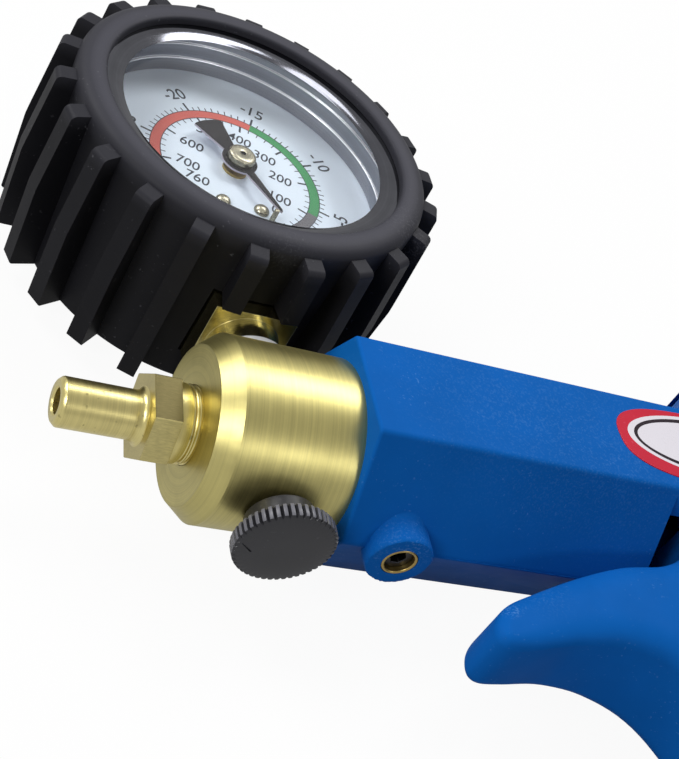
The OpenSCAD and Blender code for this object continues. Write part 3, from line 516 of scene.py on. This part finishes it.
def slab(p, half, r, reach, thin=None, near=None, steps=7, grid=0.0):
    """A slab over a clockwise outline with its edges rounded by r over the reach; thin(x) scales its
    thickness and near(x) the reach. With a grid, its two faces get points inside, so that they can curve."""
    bm = bmesh.new()
    levels = []
    for k in range(steps + 1):
        a = math.pi / 2 * k / steps
        levels.append((half - r + r * math.sin(a), reach * (1 - math.cos(a))))
    levels = [(-z, d) for z, d in levels[::-1]] + levels
    loops = []
    for z, d in levels:
        q = inset(p, d, near)
        loops.append([bm.verts.new(Vector((v[0], v[1], z * (thin(v[0]) if thin else 1.0))) * MM) for v in q])
    n = len(p)
    for a, b in zip(loops, loops[1:]):
        for i in range(n):
            j = (i + 1) % n
            bm.faces.new([a[i], a[j], b[j], b[i]])
    if not grid:
        bm.faces.new(loops[0][::-1])
        bm.faces.new(loops[-1])
        return bm
    rim = inset(p, reach, near)
    pts, keep = list(rim), inset(p, reach + 0.6 * grid, near)
    x0, x1 = min(v[0] for v in rim), max(v[0] for v in rim)
    y0, y1 = min(v[1] for v in rim), max(v[1] for v in rim)
    row = 0
    y = y0
    while y < y1:
        x = x0 + (0.5 * grid if row % 2 else 0.0)
        while x < x1:
            if inside((x, y), keep):
                pts.append(Vector((x, y)))
            x += grid
        y += grid * 0.866
        row += 1
    out, _, tris, origin, _, _ = delaunay_2d_cdt(pts, [(i, (i + 1) % n) for i in range(n)], [], 1, 1e-6)
    for side, loop in ((-1, loops[0]), (1, loops[-1])):
        made = []
        for v, src in zip(out, origin):
            rims = [s for s in src if s < n]
            made.append(loop[rims[0]] if rims else bm.verts.new(
                Vector((v[0], v[1], side * half * (thin(v[0]) if thin else 1.0))) * MM))
        for t in tris:
            bm.faces.new([made[i] for i in t])
    return bm


def inside(q, p):
    """Whether a point is within the outline."""
    hit = False
    for i in range(len(p)):
        a, b = p[i - 1], p[i]
        if (a[1] > q[1]) != (b[1] > q[1]) and q[0] < (b[0] - a[0]) * (q[1] - a[1]) / (b[1] - a[1]) + a[0]:
            hit = not hit
    return hit

# ---------------------------------------------------------------- sizes, from the frame


def node_box(node):
    lo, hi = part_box(node)
    return [v / MM for v in lo], [v / MM for v in hi]


dial_lo, dial_hi = node_box("gauge_dial")
GX = (dial_lo[0] + dial_hi[0]) / 2
GY = (dial_lo[1] + dial_hi[1]) / 2
DIAL_Z = dial_hi[2]
DIAL_TURN = 18.2  # of the print, degrees clockwise
HAND_TURN = -150.8  # of the pointer at rest, degrees
HEX_R, HEX_TURN = 7.794, 12.6  # the nipple hexagon's corners
BODY_X = 45.5
SLOT_X = 105.0
PIVOT = (138.0, 26.0)
PIN_X = 132.47
BOSS_X = 55.5

# ---------------------------------------------------------------- body


def hexagon(y=19.2, flat=10.3, half=17.3, r=0.8, steps=6):
    """The barrel's section (y, z), clockwise from the -X end, with rounded edges."""
    p = [Vector(c) for c in ((y, 0), (flat, -half), (-flat, -half), (-y, 0), (-flat, half), (flat, half))]
    out = []
    for i in range(6):
        a = p[i] + (p[i - 1] - p[i]).normalized() * r
        b = p[i] + (p[(i + 1) % 6] - p[i]).normalized() * r
        for k in range(steps + 1):
            t = k / steps
            out.append((1 - t) ** 2 * a + 2 * t * (1 - t) * p[i] + t * t * b)
    return out


# The hollow reaches past the housing near (22..30, 27..31): a known fault.
HOUSING = [(3, 6), (9.5, 11.5), (16.5, 18.5), (22.5, 25.2), (27.6, 30.6), (31.5, 33.4), (36.5, 34.6), (42, 33),
           (49.5, 26.5), (57, 16.5), (63.5, 5), (67.5, -8), (67, -19), (60, -24.3), (53.4, -22.4), (47, -17.6), (41, -10),
           (29, -6), (15, -4)]
GRIP = [(56, -6), (63, -5), (70, -14), (76, -26), (82.5, -39), (90.5, -55), (100, -72), (107.4, -86),
        (106.6, -95), (98.5, -98.6), (90.5, -94), (79, -76.5), (68.5, -58), (59.6, -39), (55, -24), (53, -13)]
HOLLOW = [(0, 12), (8, 12.1), (12.6, 12.6), (16.6, 16.4), (20.8, 24), (25.2, 30.4), (33, 33.2), (40, 31),
          (44.5, 22), (48, 12), (50.3, 0), (51.4, -14), (45, -40), (0, -40)]
LEVER = [(-38.6, -36.4), (-37.6, -33.6), (-34.6, -30.7), (-29.1, -28.1), (-20.8, -24.8), (-11.3, -21.9),
         (-1.5, -20.2), (5.2, -16.6), (9.6, -10), (13.4, 0), (18.6, 11), (25.6, 21.6), (27, 27), (32.1, 32),
         (38.5, 29), (39.4, 22), (38, 10), (33.5, -5), (29.6, -20), (26.6, -40), (26.8, -60), (29, -80),
         (31.4, -93), (28, -100.4), (20, -101.6), (13.2, -98), (8.2, -82), (3.6, -64), (-0.8, -50),
         (-6.1, -41.5), (-13.7, -37.8), (-22.9, -37.3), (-31.8, -38.7), (-36.2, -39.1), (-38.1, -38.2)]


def at_slot(p):
    return [(x + SLOT_X, y) for x, y in p]


rings = []
section = hexagon()
for k in range(5, -1, -1):
    a = math.pi / 2 * k / 5
    d = 0.55 * (1 - math.cos(a))
    rings.append([(BODY_X + 0.55 * (1 - math.sin(a)), v[0], v[1]) for v in inset(section, d)])
rings.append([(158.0, v[0], v[1]) for v in section])
bm = bmesh.new()
loft(bm, rings)

hollow = bmesh.new()
loft(hollow, [[(x, y, z) for x, y in at_slot(HOLLOW)] for z in (-11, 11)])
random.seed(7)
chips = [random.uniform(-0.16, 0.05) for _ in range(96)]
flare = lathe([(0, -21.4), (5.1, -21.4), (5.42, -21.3), (5.58, -21.05), (5.6, -20.6), (5.6, -19.0), (5.62, -17.2),
               (5.74, -16.8), (5.98, -16.35), (6.45, -15.8), (7.2, -15.1), (8.4, -14.2), (10, -13.4), (11, -9),
               (0, -9)],
              (BOSS_X, 0, 0), 1, 96,
              lambda k, r, t: r + (chips[int(t / (2 * math.pi) * 96 + 0.5) % 96] if k in (2, 3) else 0.0))
bm = combine(bm, [
    ("DIFFERENCE", block((SLOT_X, -30, -20), (170, -11, 20))),
    ("UNION", slab(smooth(at_slot(HOUSING), 6), 17.0, 2.5, 2.5)),
    ("UNION", slab(smooth(at_slot(GRIP), 6), 13.0, 5.0, 5.0)),
    ("UNION", flare),
    ("DIFFERENCE", rod((44, 0, 0), (103, 0, 0), 14.3, 96)),
    ("DIFFERENCE", rod((102, 0, 0), (106, 0, 0), 11.6, 96)),
    ("DIFFERENCE", hollow),
    ("DIFFERENCE", rod((BOSS_X, -22.4, 0), (BOSS_X, 0, 0), 3.1)),
    ("DIFFERENCE", rod((*PIVOT, -18.3), (*PIVOT, 18.3), 3.05)),
    ("DIFFERENCE", rod((*PIVOT, -18.3), (*PIVOT, -15.0), 5.6)),
])
ease(bm, 0.35, lambda c: abs(c[0] - SLOT_X) < 0.02 and c[1] < -10.9 and abs(c[2]) > 10)
ease(bm, 0.5, lambda c: c[0] > SLOT_X + 1 and abs(c[1] + 11) < 0.02 and abs(c[2]) > 10.9 and c[0] < 160)
from_bmesh("body_shell", bm, "pump", blue, 30, ("pump_body",))

# thin flash along the two ridges where the mould halves meet
bm = bmesh.new()
for y, x0 in ((-19.2, 61.6), (19.2, 46.4)):
    s = 1 if y > 0 else -1
    for x1, x2 in ((x0, SLOT_X - 0.6),) if y < 0 else ((x0, 107.5),):
        steps = 60
        loops = []
        for k in range(steps + 1):
            x = x1 + (x2 - x1) * k / steps
            h = 0.10 + 0.035 * math.sin(k * 1.7) + 0.02 * math.sin(k * 4.1)
            loops.append([(x, y - s * 0.5, 0.16), (x, y - s * 0.17 + s * h, 0.06), (x, y - s * 0.17 + s * h, -0.06),
                          (x, y - s * 0.5, -0.16)])
        loft(bm, loops)
from_bmesh("mould_line", bm, "pump", blue, 40)

# ---------------------------------------------------------------- lever

outline = smooth(at_slot(LEVER), 6)
bm = slab(outline, 10.4, 3.4, 5.2, lambda x: share(x, 0.6, SLOT_X - 40, SLOT_X - 5),
          lambda x: share(x, 0.4, SLOT_X - 40, SLOT_X - 20) * (0.62 + 0.38 * min(1, ((x - 137.8) / 9) ** 2)), 8, 2.2)
slot = []
for k in range(25):
    a = math.pi * k / 24
    slot.append((PIN_X + 2.8 * math.cos(a), 0.6 + 2.8 * math.sin(a)))
for k in range(25):
    a = math.pi + math.pi * k / 24
    slot.append((PIN_X + 2.8 * math.cos(a), -0.6 + 2.8 * math.sin(a)))
pin_slot = bmesh.new()
loft(pin_slot, [[(x, y, z) for x, y in slot] for z in (-12, 12)])
bm = combine(bm, [
    ("DIFFERENCE", rod((*PIVOT, -12), (*PIVOT, 12), 3.05)),
    ("DIFFERENCE", pin_slot),
    ("DIFFERENCE", block((100, -8, -4.4), (PIN_X, 14, 4.4))),
    ("DIFFERENCE", rod((PIN_X, 0, -4.4), (PIN_X, 0, 4.4), 7.05, 64)),
])
from_bmesh("lever_shell", bm, "squeeze_lever", blue, 38, ("lever",), False)

# ---------------------------------------------------------------- head, nipple, stem

dressed("brass_head", "pump", head_brass, 0.2, 2, name="head_turned")

bm = bmesh.new()
revolve(bm, [(2.1, 0.35), (2.35, 0.05), (3.3, 0.0), (3.45, 0.08), (3.93, 0.62), (4.0, 0.85), (4.0, 12.2),
             (4.06, 12.7), (4.25, 13.1), (4.6, 13.4), (4.9, 13.52), (5.6, 13.6), (5.6, 18.0), (6.35, 18.02),
             (6.5, 18.3), (6.5, 19.9), (6.4, 20.05), (6.08, 20.15), (6.02, 20.3), (6.08, 20.5), (6.4, 20.62),
             (6.5, 20.8), (6.42, 21.0), (6.1, 21.1), (6.02, 21.25), (6.1, 21.45), (6.45, 21.6), (6.5, 21.8),
             (6.5, 29.6), (2.1, 29.6)], (0, 0, 0), 0, 128)
from_bmesh("nipple_turned", bm, "pump", nipple_brass, 35, ("hose_nipple",))
bm = bmesh.new()
hexa = [(HEX_R * math.cos(math.radians(HEX_TURN + 60 * k)), HEX_R * math.sin(math.radians(HEX_TURN + 60 * k)))
        for k in range(6)]
loft(bm, [[(x, y, z) for y, z in hexa] for x in (13.5, 18.1)])
bmesh.ops.bevel(bm, geom=list(bm.edges), offset=0.14 * MM, segments=2, affect="EDGES", profile=0.5)
bmesh.ops.recalc_face_normals(bm, faces=bm.faces)
# the upper face (normal +Z) takes the darker copy of the brass: painted shade
for f in bm.faces:
    f.material_index = 1 if f.normal[2] > 0.9 else 0
from_bmesh("nipple_hex", bm, "pump", [hex_brass, hex_painted_shade], 30)

dressed("gauge_stem", "pump", stem_brass, 0.3, 3, name="stem_block")
bm = lathe([(6.55, 14.85), (6.95, 14.8), (7.15, 15.0), (7.2, 15.6), (7.15, 16.2), (6.95, 16.4), (6.55, 16.35)],
           (GX, 0, 0), 1, 96)
from_bmesh("washer_disc", bm, "pump", white, 35, ("stem_washer",))
dressed("clamp_insert", "pump", dull_brass, 0.18, 2, name="insert_sleeve")
dressed("clamp_screw", "pump", dark_steel, 0.12, 2, name="grub_screw")
dressed("pivot_pin", "pump", steel, 0.4, 3, name="pivot_pin_finish")
dressed("pin_clip", "pump", steel, 0.12, 2, name="clip_ring")

# ---------------------------------------------------------------- release knob

KNURLS = 46
KX = (node_box("release_knob")[0][0] + node_box("release_knob")[1][0]) / 2


def ridged(k, r, t):
    if k not in ridge_rows:
        return r
    w = 0.5 + 0.5 * math.cos(KNURLS * t)
    return r - ridge_rows[k] * (1 - min(1.0, w * 1.9) ** 0.7)


profile = [(2.05, -16.0), (5.4, -15.9), (5.7, -16.05), (5.75, -16.4), (5.75, -19.0), (5.8, -19.35), (5.95, -19.5),
           (7.8, -19.52), (8.15, -19.62), (8.3, -19.9), (8.3, -21.6), (8.18, -21.9), (7.85, -22.05), (7.5, -22.1),
           (6.5, -22.22), (5.2, -22.32), (3.6, -22.38), (1.8, -22.4), (0, -22.4), (0, -21.0), (2.05, -21.0)]
ridge_rows = {7: 0.25, 8: 0.5, 9: 0.6, 10: 0.6, 11: 0.5, 12: 0.25}
bm = lathe(profile, (KX, 0, 0), 1, KNURLS * 8, ridged)
# faces on the knurl crests take the lighter black: wear and a painted highlight
for f in bm.faces:
    c = f.calc_center_median() / MM
    if -21.8 < c[1] < -19.75 and math.hypot(c[0] - KX, c[2]) > 8.14:
        f.material_index = 1
mark = block((-1.6, -0.16, -0.16), (1.0, 0.16, 0.16), 0.05, 1)
place = Matrix.Translation(Vector((KX - 5.9, -22.2, -0.9)) * MM) @ Matrix.Rotation(math.radians(37), 4, "Y")
bmesh.ops.transform(mark, matrix=place, verts=mark.verts)
bm = combine(bm, [("DIFFERENCE", mark)])
from_bmesh("knob_moulding", bm, "release_valve", [black, crest_wear_and_highlight], 34, ("release_knob",))

# ---------------------------------------------------------------- rubber boot

wall = [(32.6, -14.0), (32.3, -14.35), (27.2, -14.4), (26.8, -14.0), (26.8, -12.35), (30.85, -12.35),
        (30.85, 11.8), (32.05, 11.8), (32.05, 20.65), (29.0, 20.65), (28.98, 19.86), (28.76, 19.86), (28.76, 20.8),
        (28.84, 21.15), (29.02, 21.36), (29.4, 21.52), (30.2, 21.6), (31.0, 21.57), (31.8, 21.46), (32.5, 21.26),
        (33.1, 20.96), (33.55, 20.55), (33.87, 20.0), (33.98, 19.4)]
boot = lathe(wall, (GX, GY, 0), 2, 192)
ribs = bmesh.new()
side_view = [(31.9, -14.3), (36.9, -14.4), (37.3, -14.1), (38.2, 3.0)]
side_view += [(36.1 + 1.15 * math.cos(math.radians(a)) + 0.05, 18.5 + 1.1 * math.sin(math.radians(a)))
              for a in (4, 22, 44, 66, 86)]
side_view += [(32.6, 19.9)]
cut_ribs = bmesh.new()
for k in range(22):
    turn = 2 * math.pi * k / 22
    er = Vector((math.cos(turn), math.sin(turn), 0))
    et = Vector((-math.sin(turn), math.cos(turn), 0))
    one = bmesh.new()
    loft(one, [[Vector((GX, GY, z)) + er * r + et * s for r, z in side_view] for s in (-1.65, 1.65)])
    soft = [e for e in one.edges if abs(e.calc_face_angle(0)) > 0.9]
    bmesh.ops.bevel(one, geom=soft, offset=0.42 * MM, segments=3, affect="EDGES", profile=0.5)
    join(cut_ribs if k in (16, 17) else ribs, one)
tool = (GX - 7.9, 12.8, -7.9), (GX + 7.9, 28.8, 7.9)
boot = combine(boot, [("DIFFERENCE", block(*tool))])
join(boot, combine(cut_ribs, [("DIFFERENCE", block(*tool))]))
join(boot, ribs)
from_bmesh("boot_shell", boot, "pump", rubber, 34, ("gauge_boot",))

# ---------------------------------------------------------------- bezel, rings, dial and its print

bm = lathe([(25.2, 19.03), (25.26, 18.99), (30.85, 18.98), (30.85, 12.0), (32.0, 12.0), (32.0, 20.1), (31.85, 20.4),
            (31.4, 20.6), (29.2, 20.6), (29.02, 20.5), (29.02, 19.84), (28.9, 19.8), (28.5, 19.79), (28.0, 19.75),
            (27.5, 19.68), (27.0, 19.59), (26.5, 19.47), (26.0, 19.32), (25.6, 19.18), (25.35, 19.08)],
           (GX, GY, 0), 2, 192)
from_bmesh("bezel_ring", bm, "pump", chrome, 40, ("gauge_bezel",))
bm = lathe([(28.5, 9.3), (28.5, 11.95), (28.56, 12.1), (28.66, 12.17), (28.84, 12.2), (28.9, 12.32), (28.9, 14.95),
            (28.96, 15.1), (29.06, 15.17), (29.22, 15.2), (29.28, 15.3), (29.28, 16.65), (29.72, 16.68),
            (29.72, 9.27)], (GX, GY, 0), 2, 192)
# the two ledges take the near-white metal: a painted highlight
for f in bm.faces:
    z = f.calc_center_median()[2] / MM
    if 11.96 < z < 12.3 or 14.96 < z < 15.3:
        f.material_index = 1
from_bmesh("lens_ring_turned", bm, "pump", [ring_grey, ledge_painted_highlight], 40, ("lens_ring",))


PRINT_X, PRINT_Y = GX + 0.3, GY - 0.5


def polar(r, a):
    """A point of the print (mm): r from its centre, a degrees clockwise from its upright."""
    t = math.radians(a + DIAL_TURN)
    return Vector((PRINT_X + r * math.sin(t), PRINT_Y + r * math.cos(t)))


def flat(bm, outline, z, t=0.015):
    loft(bm, [[(x, y, h) for x, y in outline] for h in (z, z + t)])


def mark_line(bm, a, r0, r1, w, z):
    u = (polar(1, a) - polar(0, a)).normalized()
    s = Vector((-u[1], u[0])) * w / 2
    c = Vector((PRINT_X, PRINT_Y))
    flat(bm, [c + u * r0 - s, c + u * r1 - s, c + u * r1 + s, c + u * r0 + s][::-1], z)


def band(bm, r0, r1, a0, a1, z, t=0.012):
    n = max(4, int((a1 - a0) / 2))
    arc = [a0 + (a1 - a0) * k / n for k in range(n + 1)]
    flat(bm, [polar(r1, a) for a in arc] + [polar(r0, a) for a in arc[::-1]], z, t)


def words(bm, text, size, place, turn, z, thin=0.92):
    """Digits in the built-in sans face, centred on a place of the dial (mm), turned clockwise."""
    curve = bpy.data.curves.new("digits", "FONT")
    curve.body = text
    curve.size = size
    curve.align_x = "CENTER"
    curve.align_y = "CENTER"
    curve.offset = 0.004 * size
    curve.resolution_u = 6
    curve.extrude = 0.01
    obj = bpy.data.objects.new("digits", curve)
    scene.collection.objects.link(obj)
    bpy.context.view_layer.update()
    mesh = bpy.data.meshes.new_from_object(obj.evaluated_get(bpy.context.evaluated_depsgraph_get()))
    t = -math.radians(turn + DIAL_TURN)
    mesh.transform(Matrix.Scale(MM, 4) @ Matrix.Translation(Vector((*place, z + 0.01)))
                   @ Matrix.Rotation(t, 4, "Z") @ Matrix.Diagonal((thin, 1, 1, 1)))
    bm.from_mesh(mesh)
    bpy.data.objects.remove(obj)
    bpy.data.curves.remove(curve)
    bpy.data.meshes.remove(mesh)


PZ = DIAL_Z + 0.02
for name, a0, a1, mat, slot_name in (("dial_arc_red", -135, 0, print_red, "badge_red"),
                                     ("dial_arc_green", 0, 97, print_green, "dial_white"),
                                     ("dial_arc_grey", 97, 135, print_grey, "pointer_black")):
    bm = bmesh.new()
    band(bm, 14.95, 17.0, a0, a1, PZ)
    from_bmesh(name, bm, "pump", mat, 30, (), False)

bm = bmesh.new()
for k in range(61):
    a = 135 - 4.5 * k
    major = k % 10 == 0
    mark_line(bm, a, 17.0, 19.15 if major else (18.2 if k % 2 == 0 else 17.95), 0.42 if major else 0.2,
              PZ + (0.002 if major else 0.0))
band(bm, 16.93, 17.08, -135, 135, PZ + 0.02, 0.01)
band(bm, 14.87, 15.02, -142, 135, PZ + 0.02, 0.01)
for k in range(39):
    v = 20 * k
    a = 135 - 35.5 * v / 100
    major = v % 100 == 0 or v == 760
    mark_line(bm, a, 13.1 if major else 13.95, 14.95, 0.4 if major else 0.18, PZ + (0.002 if major else 0.0))
for k, text in enumerate(("0", "-5", "-10", "-15", "-20", "-25", "-30")):
    a = 135 - 45 * k
    over = a + DIAL_TURN > 90 or a + DIAL_TURN < -90
    words(bm, text, 4.1, polar(21.6, a - 1.2), a + (180 if over else 0), PZ)
for v, (r, a), (dx, dy) in (
        (760, (9.4, -142), (-0.6, 0.3)), (700, (9.9, -115), (0, 0)), (600, (9.9, -80), (0.4, 0.1)),
        (500, (10.0, -40), (-0.7, 0.45)), (400, (9.9, -2), (-0.6, 0.8)), (300, (9.9, 29), (-0.5, 0)),
        (200, (9.9, 62), (-0.5, -0.1)), (100, (10.0, 97), (-1.0, -0.3)), (0, (10.0, 121), (0.1, -0.6))):
    words(bm, str(v), 3.5, polar(r, a) + Vector((dx, dy)), 0, PZ)
from_bmesh("dial_scale", bm, "pump", print_black, 30, (), False)

# ---------------------------------------------------------------- pointer, cap, screws, stop post

REACH = 13.8
ptr_z0, ptr_z1 = (node_box("pointer")[i][2] for i in (0, 1))


def hand_outline():
    """The pointer's outline about its hub, tip toward +Y before turning (mm)."""
    pts = []
    hub, tail = 3.5, 11.0
    a0 = math.degrees(math.asin(0.9 / hub))
    for k in range(0, 33):
        a = a0 + (180 - a0 - math.degrees(math.asin(1.3 / hub))) * k / 32
        pts.append((hub * math.sin(math.radians(a)), hub * math.cos(math.radians(a))))
    for k in range(9):
        a = 17 - 34 * k / 8
        pts.append((tail * math.sin(math.radians(a)), -tail * math.cos(math.radians(a))))
    for k in range(0, 33):
        a = 180 + math.degrees(math.asin(1.3 / hub)) + (180 - math.degrees(math.asin(1.3 / hub)) - a0) * k / 32
        pts.append((hub * math.sin(math.radians(a)), hub * math.cos(math.radians(a))))
    pts += [(-0.28, REACH - 0.6), (0, REACH), (0.28, REACH - 0.6)]
    return [Vector(p) for p in pts]


spin = Matrix.Translation(Vector((GX, GY, 0))) @ Matrix.Rotation(math.radians(HAND_TURN), 4, "Z")
bm = bmesh.new()
shape = hand_outline()
made = loft(bm, [[spin @ Vector((p[0], p[1], z)) for p in shape] for z in (ptr_z0, ptr_z1 - 0.12, ptr_z1)])
for f in made:
    if f.calc_center_median()[2] < (ptr_z1 - 0.13) * MM:
        f.material_index = 1
from_bmesh("pointer_hand", bm, "gauge_hand", [pointer_black, pointer_edge], 30, ("pointer",), False)

bm = lathe([(0.72, 11.72), (2.55, 11.72), (2.68, 11.8), (2.7, 12.0), (2.7, 12.85), (2.62, 13.08), (2.4, 13.26),
            (2.1, 13.36), (1.8, 13.4), (0.62, 13.4), (0.5, 13.34), (0.42, 13.0), (0, 12.95), (0, 12.8),
            (0.72, 12.6)], (GX, GY, 0), 2, 96)
# the pit at the cap's centre takes the dark steel: painted shade in the hollow
for f in bm.faces:
    c = f.calc_center_median() / MM
    if math.hypot(c[0] - GX, c[1] - GY) < 0.5:
        f.material_index = 1
from_bmesh("pointer_cap_turned", bm, "gauge_hand", [cap_metal, dark_steel], 32, ("pointer_cap",))

bm = bmesh.new()
for s in (-1, 1):
    base = (GX + s * 3.8, GY - 10.3, 0)
    z = DIAL_Z + 0.02
    revolve(bm, [(0, z - 4.1), (0.78, z - 4.1), (0.8, z - 0.1), (1.48, z), (1.5, z + 0.12), (1.42, z + 0.42),
                 (1.2, z + 0.72), (0.85, z + 0.97), (0.45, z + 1.13), (0.0, z + 1.18)], base, 2, 48)
from_bmesh("dial_screws_domed", bm, "pump", cap_metal, 36, ("dial_screws",))
plo2, phi2 = node_box("stop_post")
bm = lathe([(0, plo2[2]), (0.5, plo2[2]), (0.5, phi2[2] - 0.15), (0.4, phi2[2] - 0.02), (0.25, phi2[2]),
            (0, phi2[2])], ((plo2[0] + phi2[0]) / 2, (plo2[1] + phi2[1]) / 2, 0), 2, 32)
from_bmesh("stop_post_turned", bm, "pump", cap_metal, 40, ("stop_post",))

# ---------------------------------------------------------------- badge

blo, bhi = node_box("badge")
BX, BY = (blo[0] + bhi[0]) / 2, (blo[1] + bhi[1]) / 2
BA, BB = (bhi[0] - blo[0]) / 2, (bhi[1] - blo[1]) / 2
for name, a, b, up, z0, z1, mat, slot_name in (
        ("badge_plate", BA - 0.2, BB + 0.25, -0.31, blo[2], bhi[2] - 0.07, badge_red, "badge_red"),
        ("badge_white_band", 20.75, 7.3, 0.2, bhi[2] - 0.072, bhi[2] - 0.05, badge_pale, "badge_red"),
        ("badge_dark_ring", 19.4, 6.6, 0.12, bhi[2] - 0.052, bhi[2] - 0.025, badge_black, "badge_red"),
        ("badge_field", 18.65, 5.75, 0.1, bhi[2] - 0.027, bhi[2], badge_pale, "badge_red")):
    bm = bmesh.new()
    n = 128
    power = 2 / 2.75 if name == "badge_plate" else 1.0
    loops = []
    for z, d in ((z0, 0.0), (z1 - 0.3 * (z1 - z0), 0.0), (z1, 0.12 if name == "badge_plate" else 0.02)):
        turn = [(math.cos(2 * math.pi * i / n), math.sin(2 * math.pi * i / n)) for i in range(n)]
        loops.append([(BX + (a - d) * math.copysign(abs(c) ** power, c),
                       BY + up + (b - d) * math.copysign(abs(w) ** power, w), z) for c, w in turn])
    loft(bm, loops)
    from_bmesh(name, bm, "pump", mat, 30, ("badge",) if name == "badge_plate" else ())

# ---------------------------------------------------------------- springs, copied from their CAD nodes


def spring(node, body):
    bm = bmesh.new()
    bm.from_mesh(NODES[node].data)
    bmesh.ops.remove_doubles(bm, verts=bm.verts, dist=2e-6)
    obj = from_bmesh(node + "_coil", bm, body, steel, 50, (node,), False)
    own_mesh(obj)
    return obj


spring("return_spring", "pump")
spring("check_spring", "pump")

for n, m in (("head_o_ring", seal), ("cylinder_tube", dull_brass), ("cylinder_guide", black),
             ("check_ball", steel), ("check_retainer", dull_brass), ("piston", alloy), ("piston_seal", seal),
             ("piston_washer", steel), ("piston_rod", rod_steel), ("rod_pin", rod_steel),
             ("release_spindle", dull_brass), ("release_o_ring", seal), ("release_pad", seal),
             ("gauge_case", dark_steel), ("gauge_lens", glass.mat), ("gauge_dial", dial_white),
             ("pointer_shaft", dull_brass), ("movement_plates", dull_brass), ("sector_gear", dull_brass),
             ("sector_pin", steel), ("bourdon_tube", dull_brass), ("tube_link", steel)):
    plain(n, m)

# ---------------------------------------------------------------- floor, light, camera

floor_z = cad_box[0][2] - 0.0002
bm = bmesh.new()
s = 4.0
bm.faces.new([bm.verts.new((x, y, floor_z)) for x, y in ((-s, -s), (s, -s), (s, s), (-s, s))])
mesh = bpy.data.meshes.new("floor")
bm.to_mesh(mesh)
bm.free()
floor = bpy.data.objects.new("floor", mesh)
scene.collection.objects.link(floor)

ground = Mat("floor_white", (0.36, 0.36, 0.36, 1), 0.0, 0.9, Specular_IOR_Level=0.0)
path = ground.node("ShaderNodeLightPath")
ground.color(ground.mix(path.outputs["Is Camera Ray"], (0.36, 0.36, 0.36, 1), (0.9, 0.9, 0.9, 1)))
seen = ground.math("MAXIMUM", path.outputs["Is Camera Ray"], path.outputs["Is Transmission Ray"])
part = ground.math("ADD", ground.math("MULTIPLY", seen, 0.94), ground.math("MULTIPLY", path.outputs["Is Glossy Ray"],
                                                                          0.46), True)
glow = ground.node("ShaderNodeEmission")
glow.inputs["Strength"].default_value = 1.0
mixer = ground.node("ShaderNodeMixShader")
ground.link(part, mixer.inputs[0])
ground.link(ground.bsdf.outputs[0], mixer.inputs[1])
ground.link(glow.outputs[0], mixer.inputs[2])
ground.link(mixer.outputs[0], ground.tree.nodes["Material Output"].inputs["Surface"])
mesh.materials.append(ground.mat)

world = bpy.data.worlds.new("studio")
scene.world = world
world.use_nodes = True
t = world.node_tree
back = t.nodes["Background"]
back.inputs["Color"].default_value = (1, 1, 1, 1)
path = t.nodes.new("ShaderNodeLightPath")
m1 = t.nodes.new("ShaderNodeMath")
m1.operation = "MAXIMUM"
t.links.new(path.outputs["Is Camera Ray"], m1.inputs[0])
t.links.new(path.outputs["Is Transmission Ray"], m1.inputs[1])
m2 = t.nodes.new("ShaderNodeMath")
m2.operation = "MULTIPLY_ADD"
m2.inputs[1].default_value = 0.25
m2.inputs[2].default_value = 0.20
t.links.new(path.outputs["Is Glossy Ray"], m2.inputs[0])
m3 = t.nodes.new("ShaderNodeMath")
m3.operation = "MAXIMUM"
t.links.new(m1.outputs[0], m3.inputs[0])
t.links.new(m2.outputs[0], m3.inputs[1])
t.links.new(m3.outputs[0], back.inputs["Strength"])


def area(name, toward, distance, size, share_, size_y=None, target=(0.06, 0.0, 0.0)):
    """A softbox that lights a surface facing it by its share of full white."""
    toward = Vector(toward).normalized()
    data = bpy.data.lights.new(name, "AREA")
    data.shape = "RECTANGLE"
    data.size = size
    data.size_y = size_y or size
    data.energy = math.pi ** 2 * distance ** 2 * share_
    obj = bpy.data.objects.new(name, data)
    scene.collection.objects.link(obj)
    obj.location = Vector(target) + toward * distance
    obj.rotation_euler = (-toward).to_track_quat("-Z", "Y").to_euler()
    return obj


area("back_right", (0.44, 0.46, 0.78), 0.75, 0.30, 0.33, 0.22)
area("back_left", (-0.58, 0.50, 0.64), 0.75, 0.34, 0.42, 0.28)
area("front_left", (-0.78, -0.34, 0.54), 0.80, 0.24, 0.36, 0.30)
area("top", (0.08, 0.50, 0.86), 0.75, 0.10, 0.08, 0.24)
area("front_right", (0.46, -0.74, 0.50), 0.80, 0.16, 0.10, 0.12)

FOCAL_PX, PHOTO_HEIGHT_PX = 1431.7, 759.0
cam_data = bpy.data.cameras.new("camera")
cam_data.sensor_fit = "VERTICAL"
cam_data.sensor_height = 24.0
cam_data.lens = cam_data.sensor_height * FOCAL_PX / PHOTO_HEIGHT_PX
cam_data.clip_start = 0.01
cam_data.clip_end = 20.0
camera = bpy.data.objects.new("camera", cam_data)
scene.collection.objects.link(camera)
forward = Vector((0.445, 0.658, -0.607)).normalized()
up = Vector((-0.184, 0.731, 0.657))
up = (up - forward * up.dot(forward)).normalized()
right = forward.cross(up)
pose = Matrix((right, up, -forward)).transposed().to_4x4()
pose.translation = Vector((-59.2, -147.8, 152.6)) * MM
camera.matrix_world = pose
scene.camera = camera
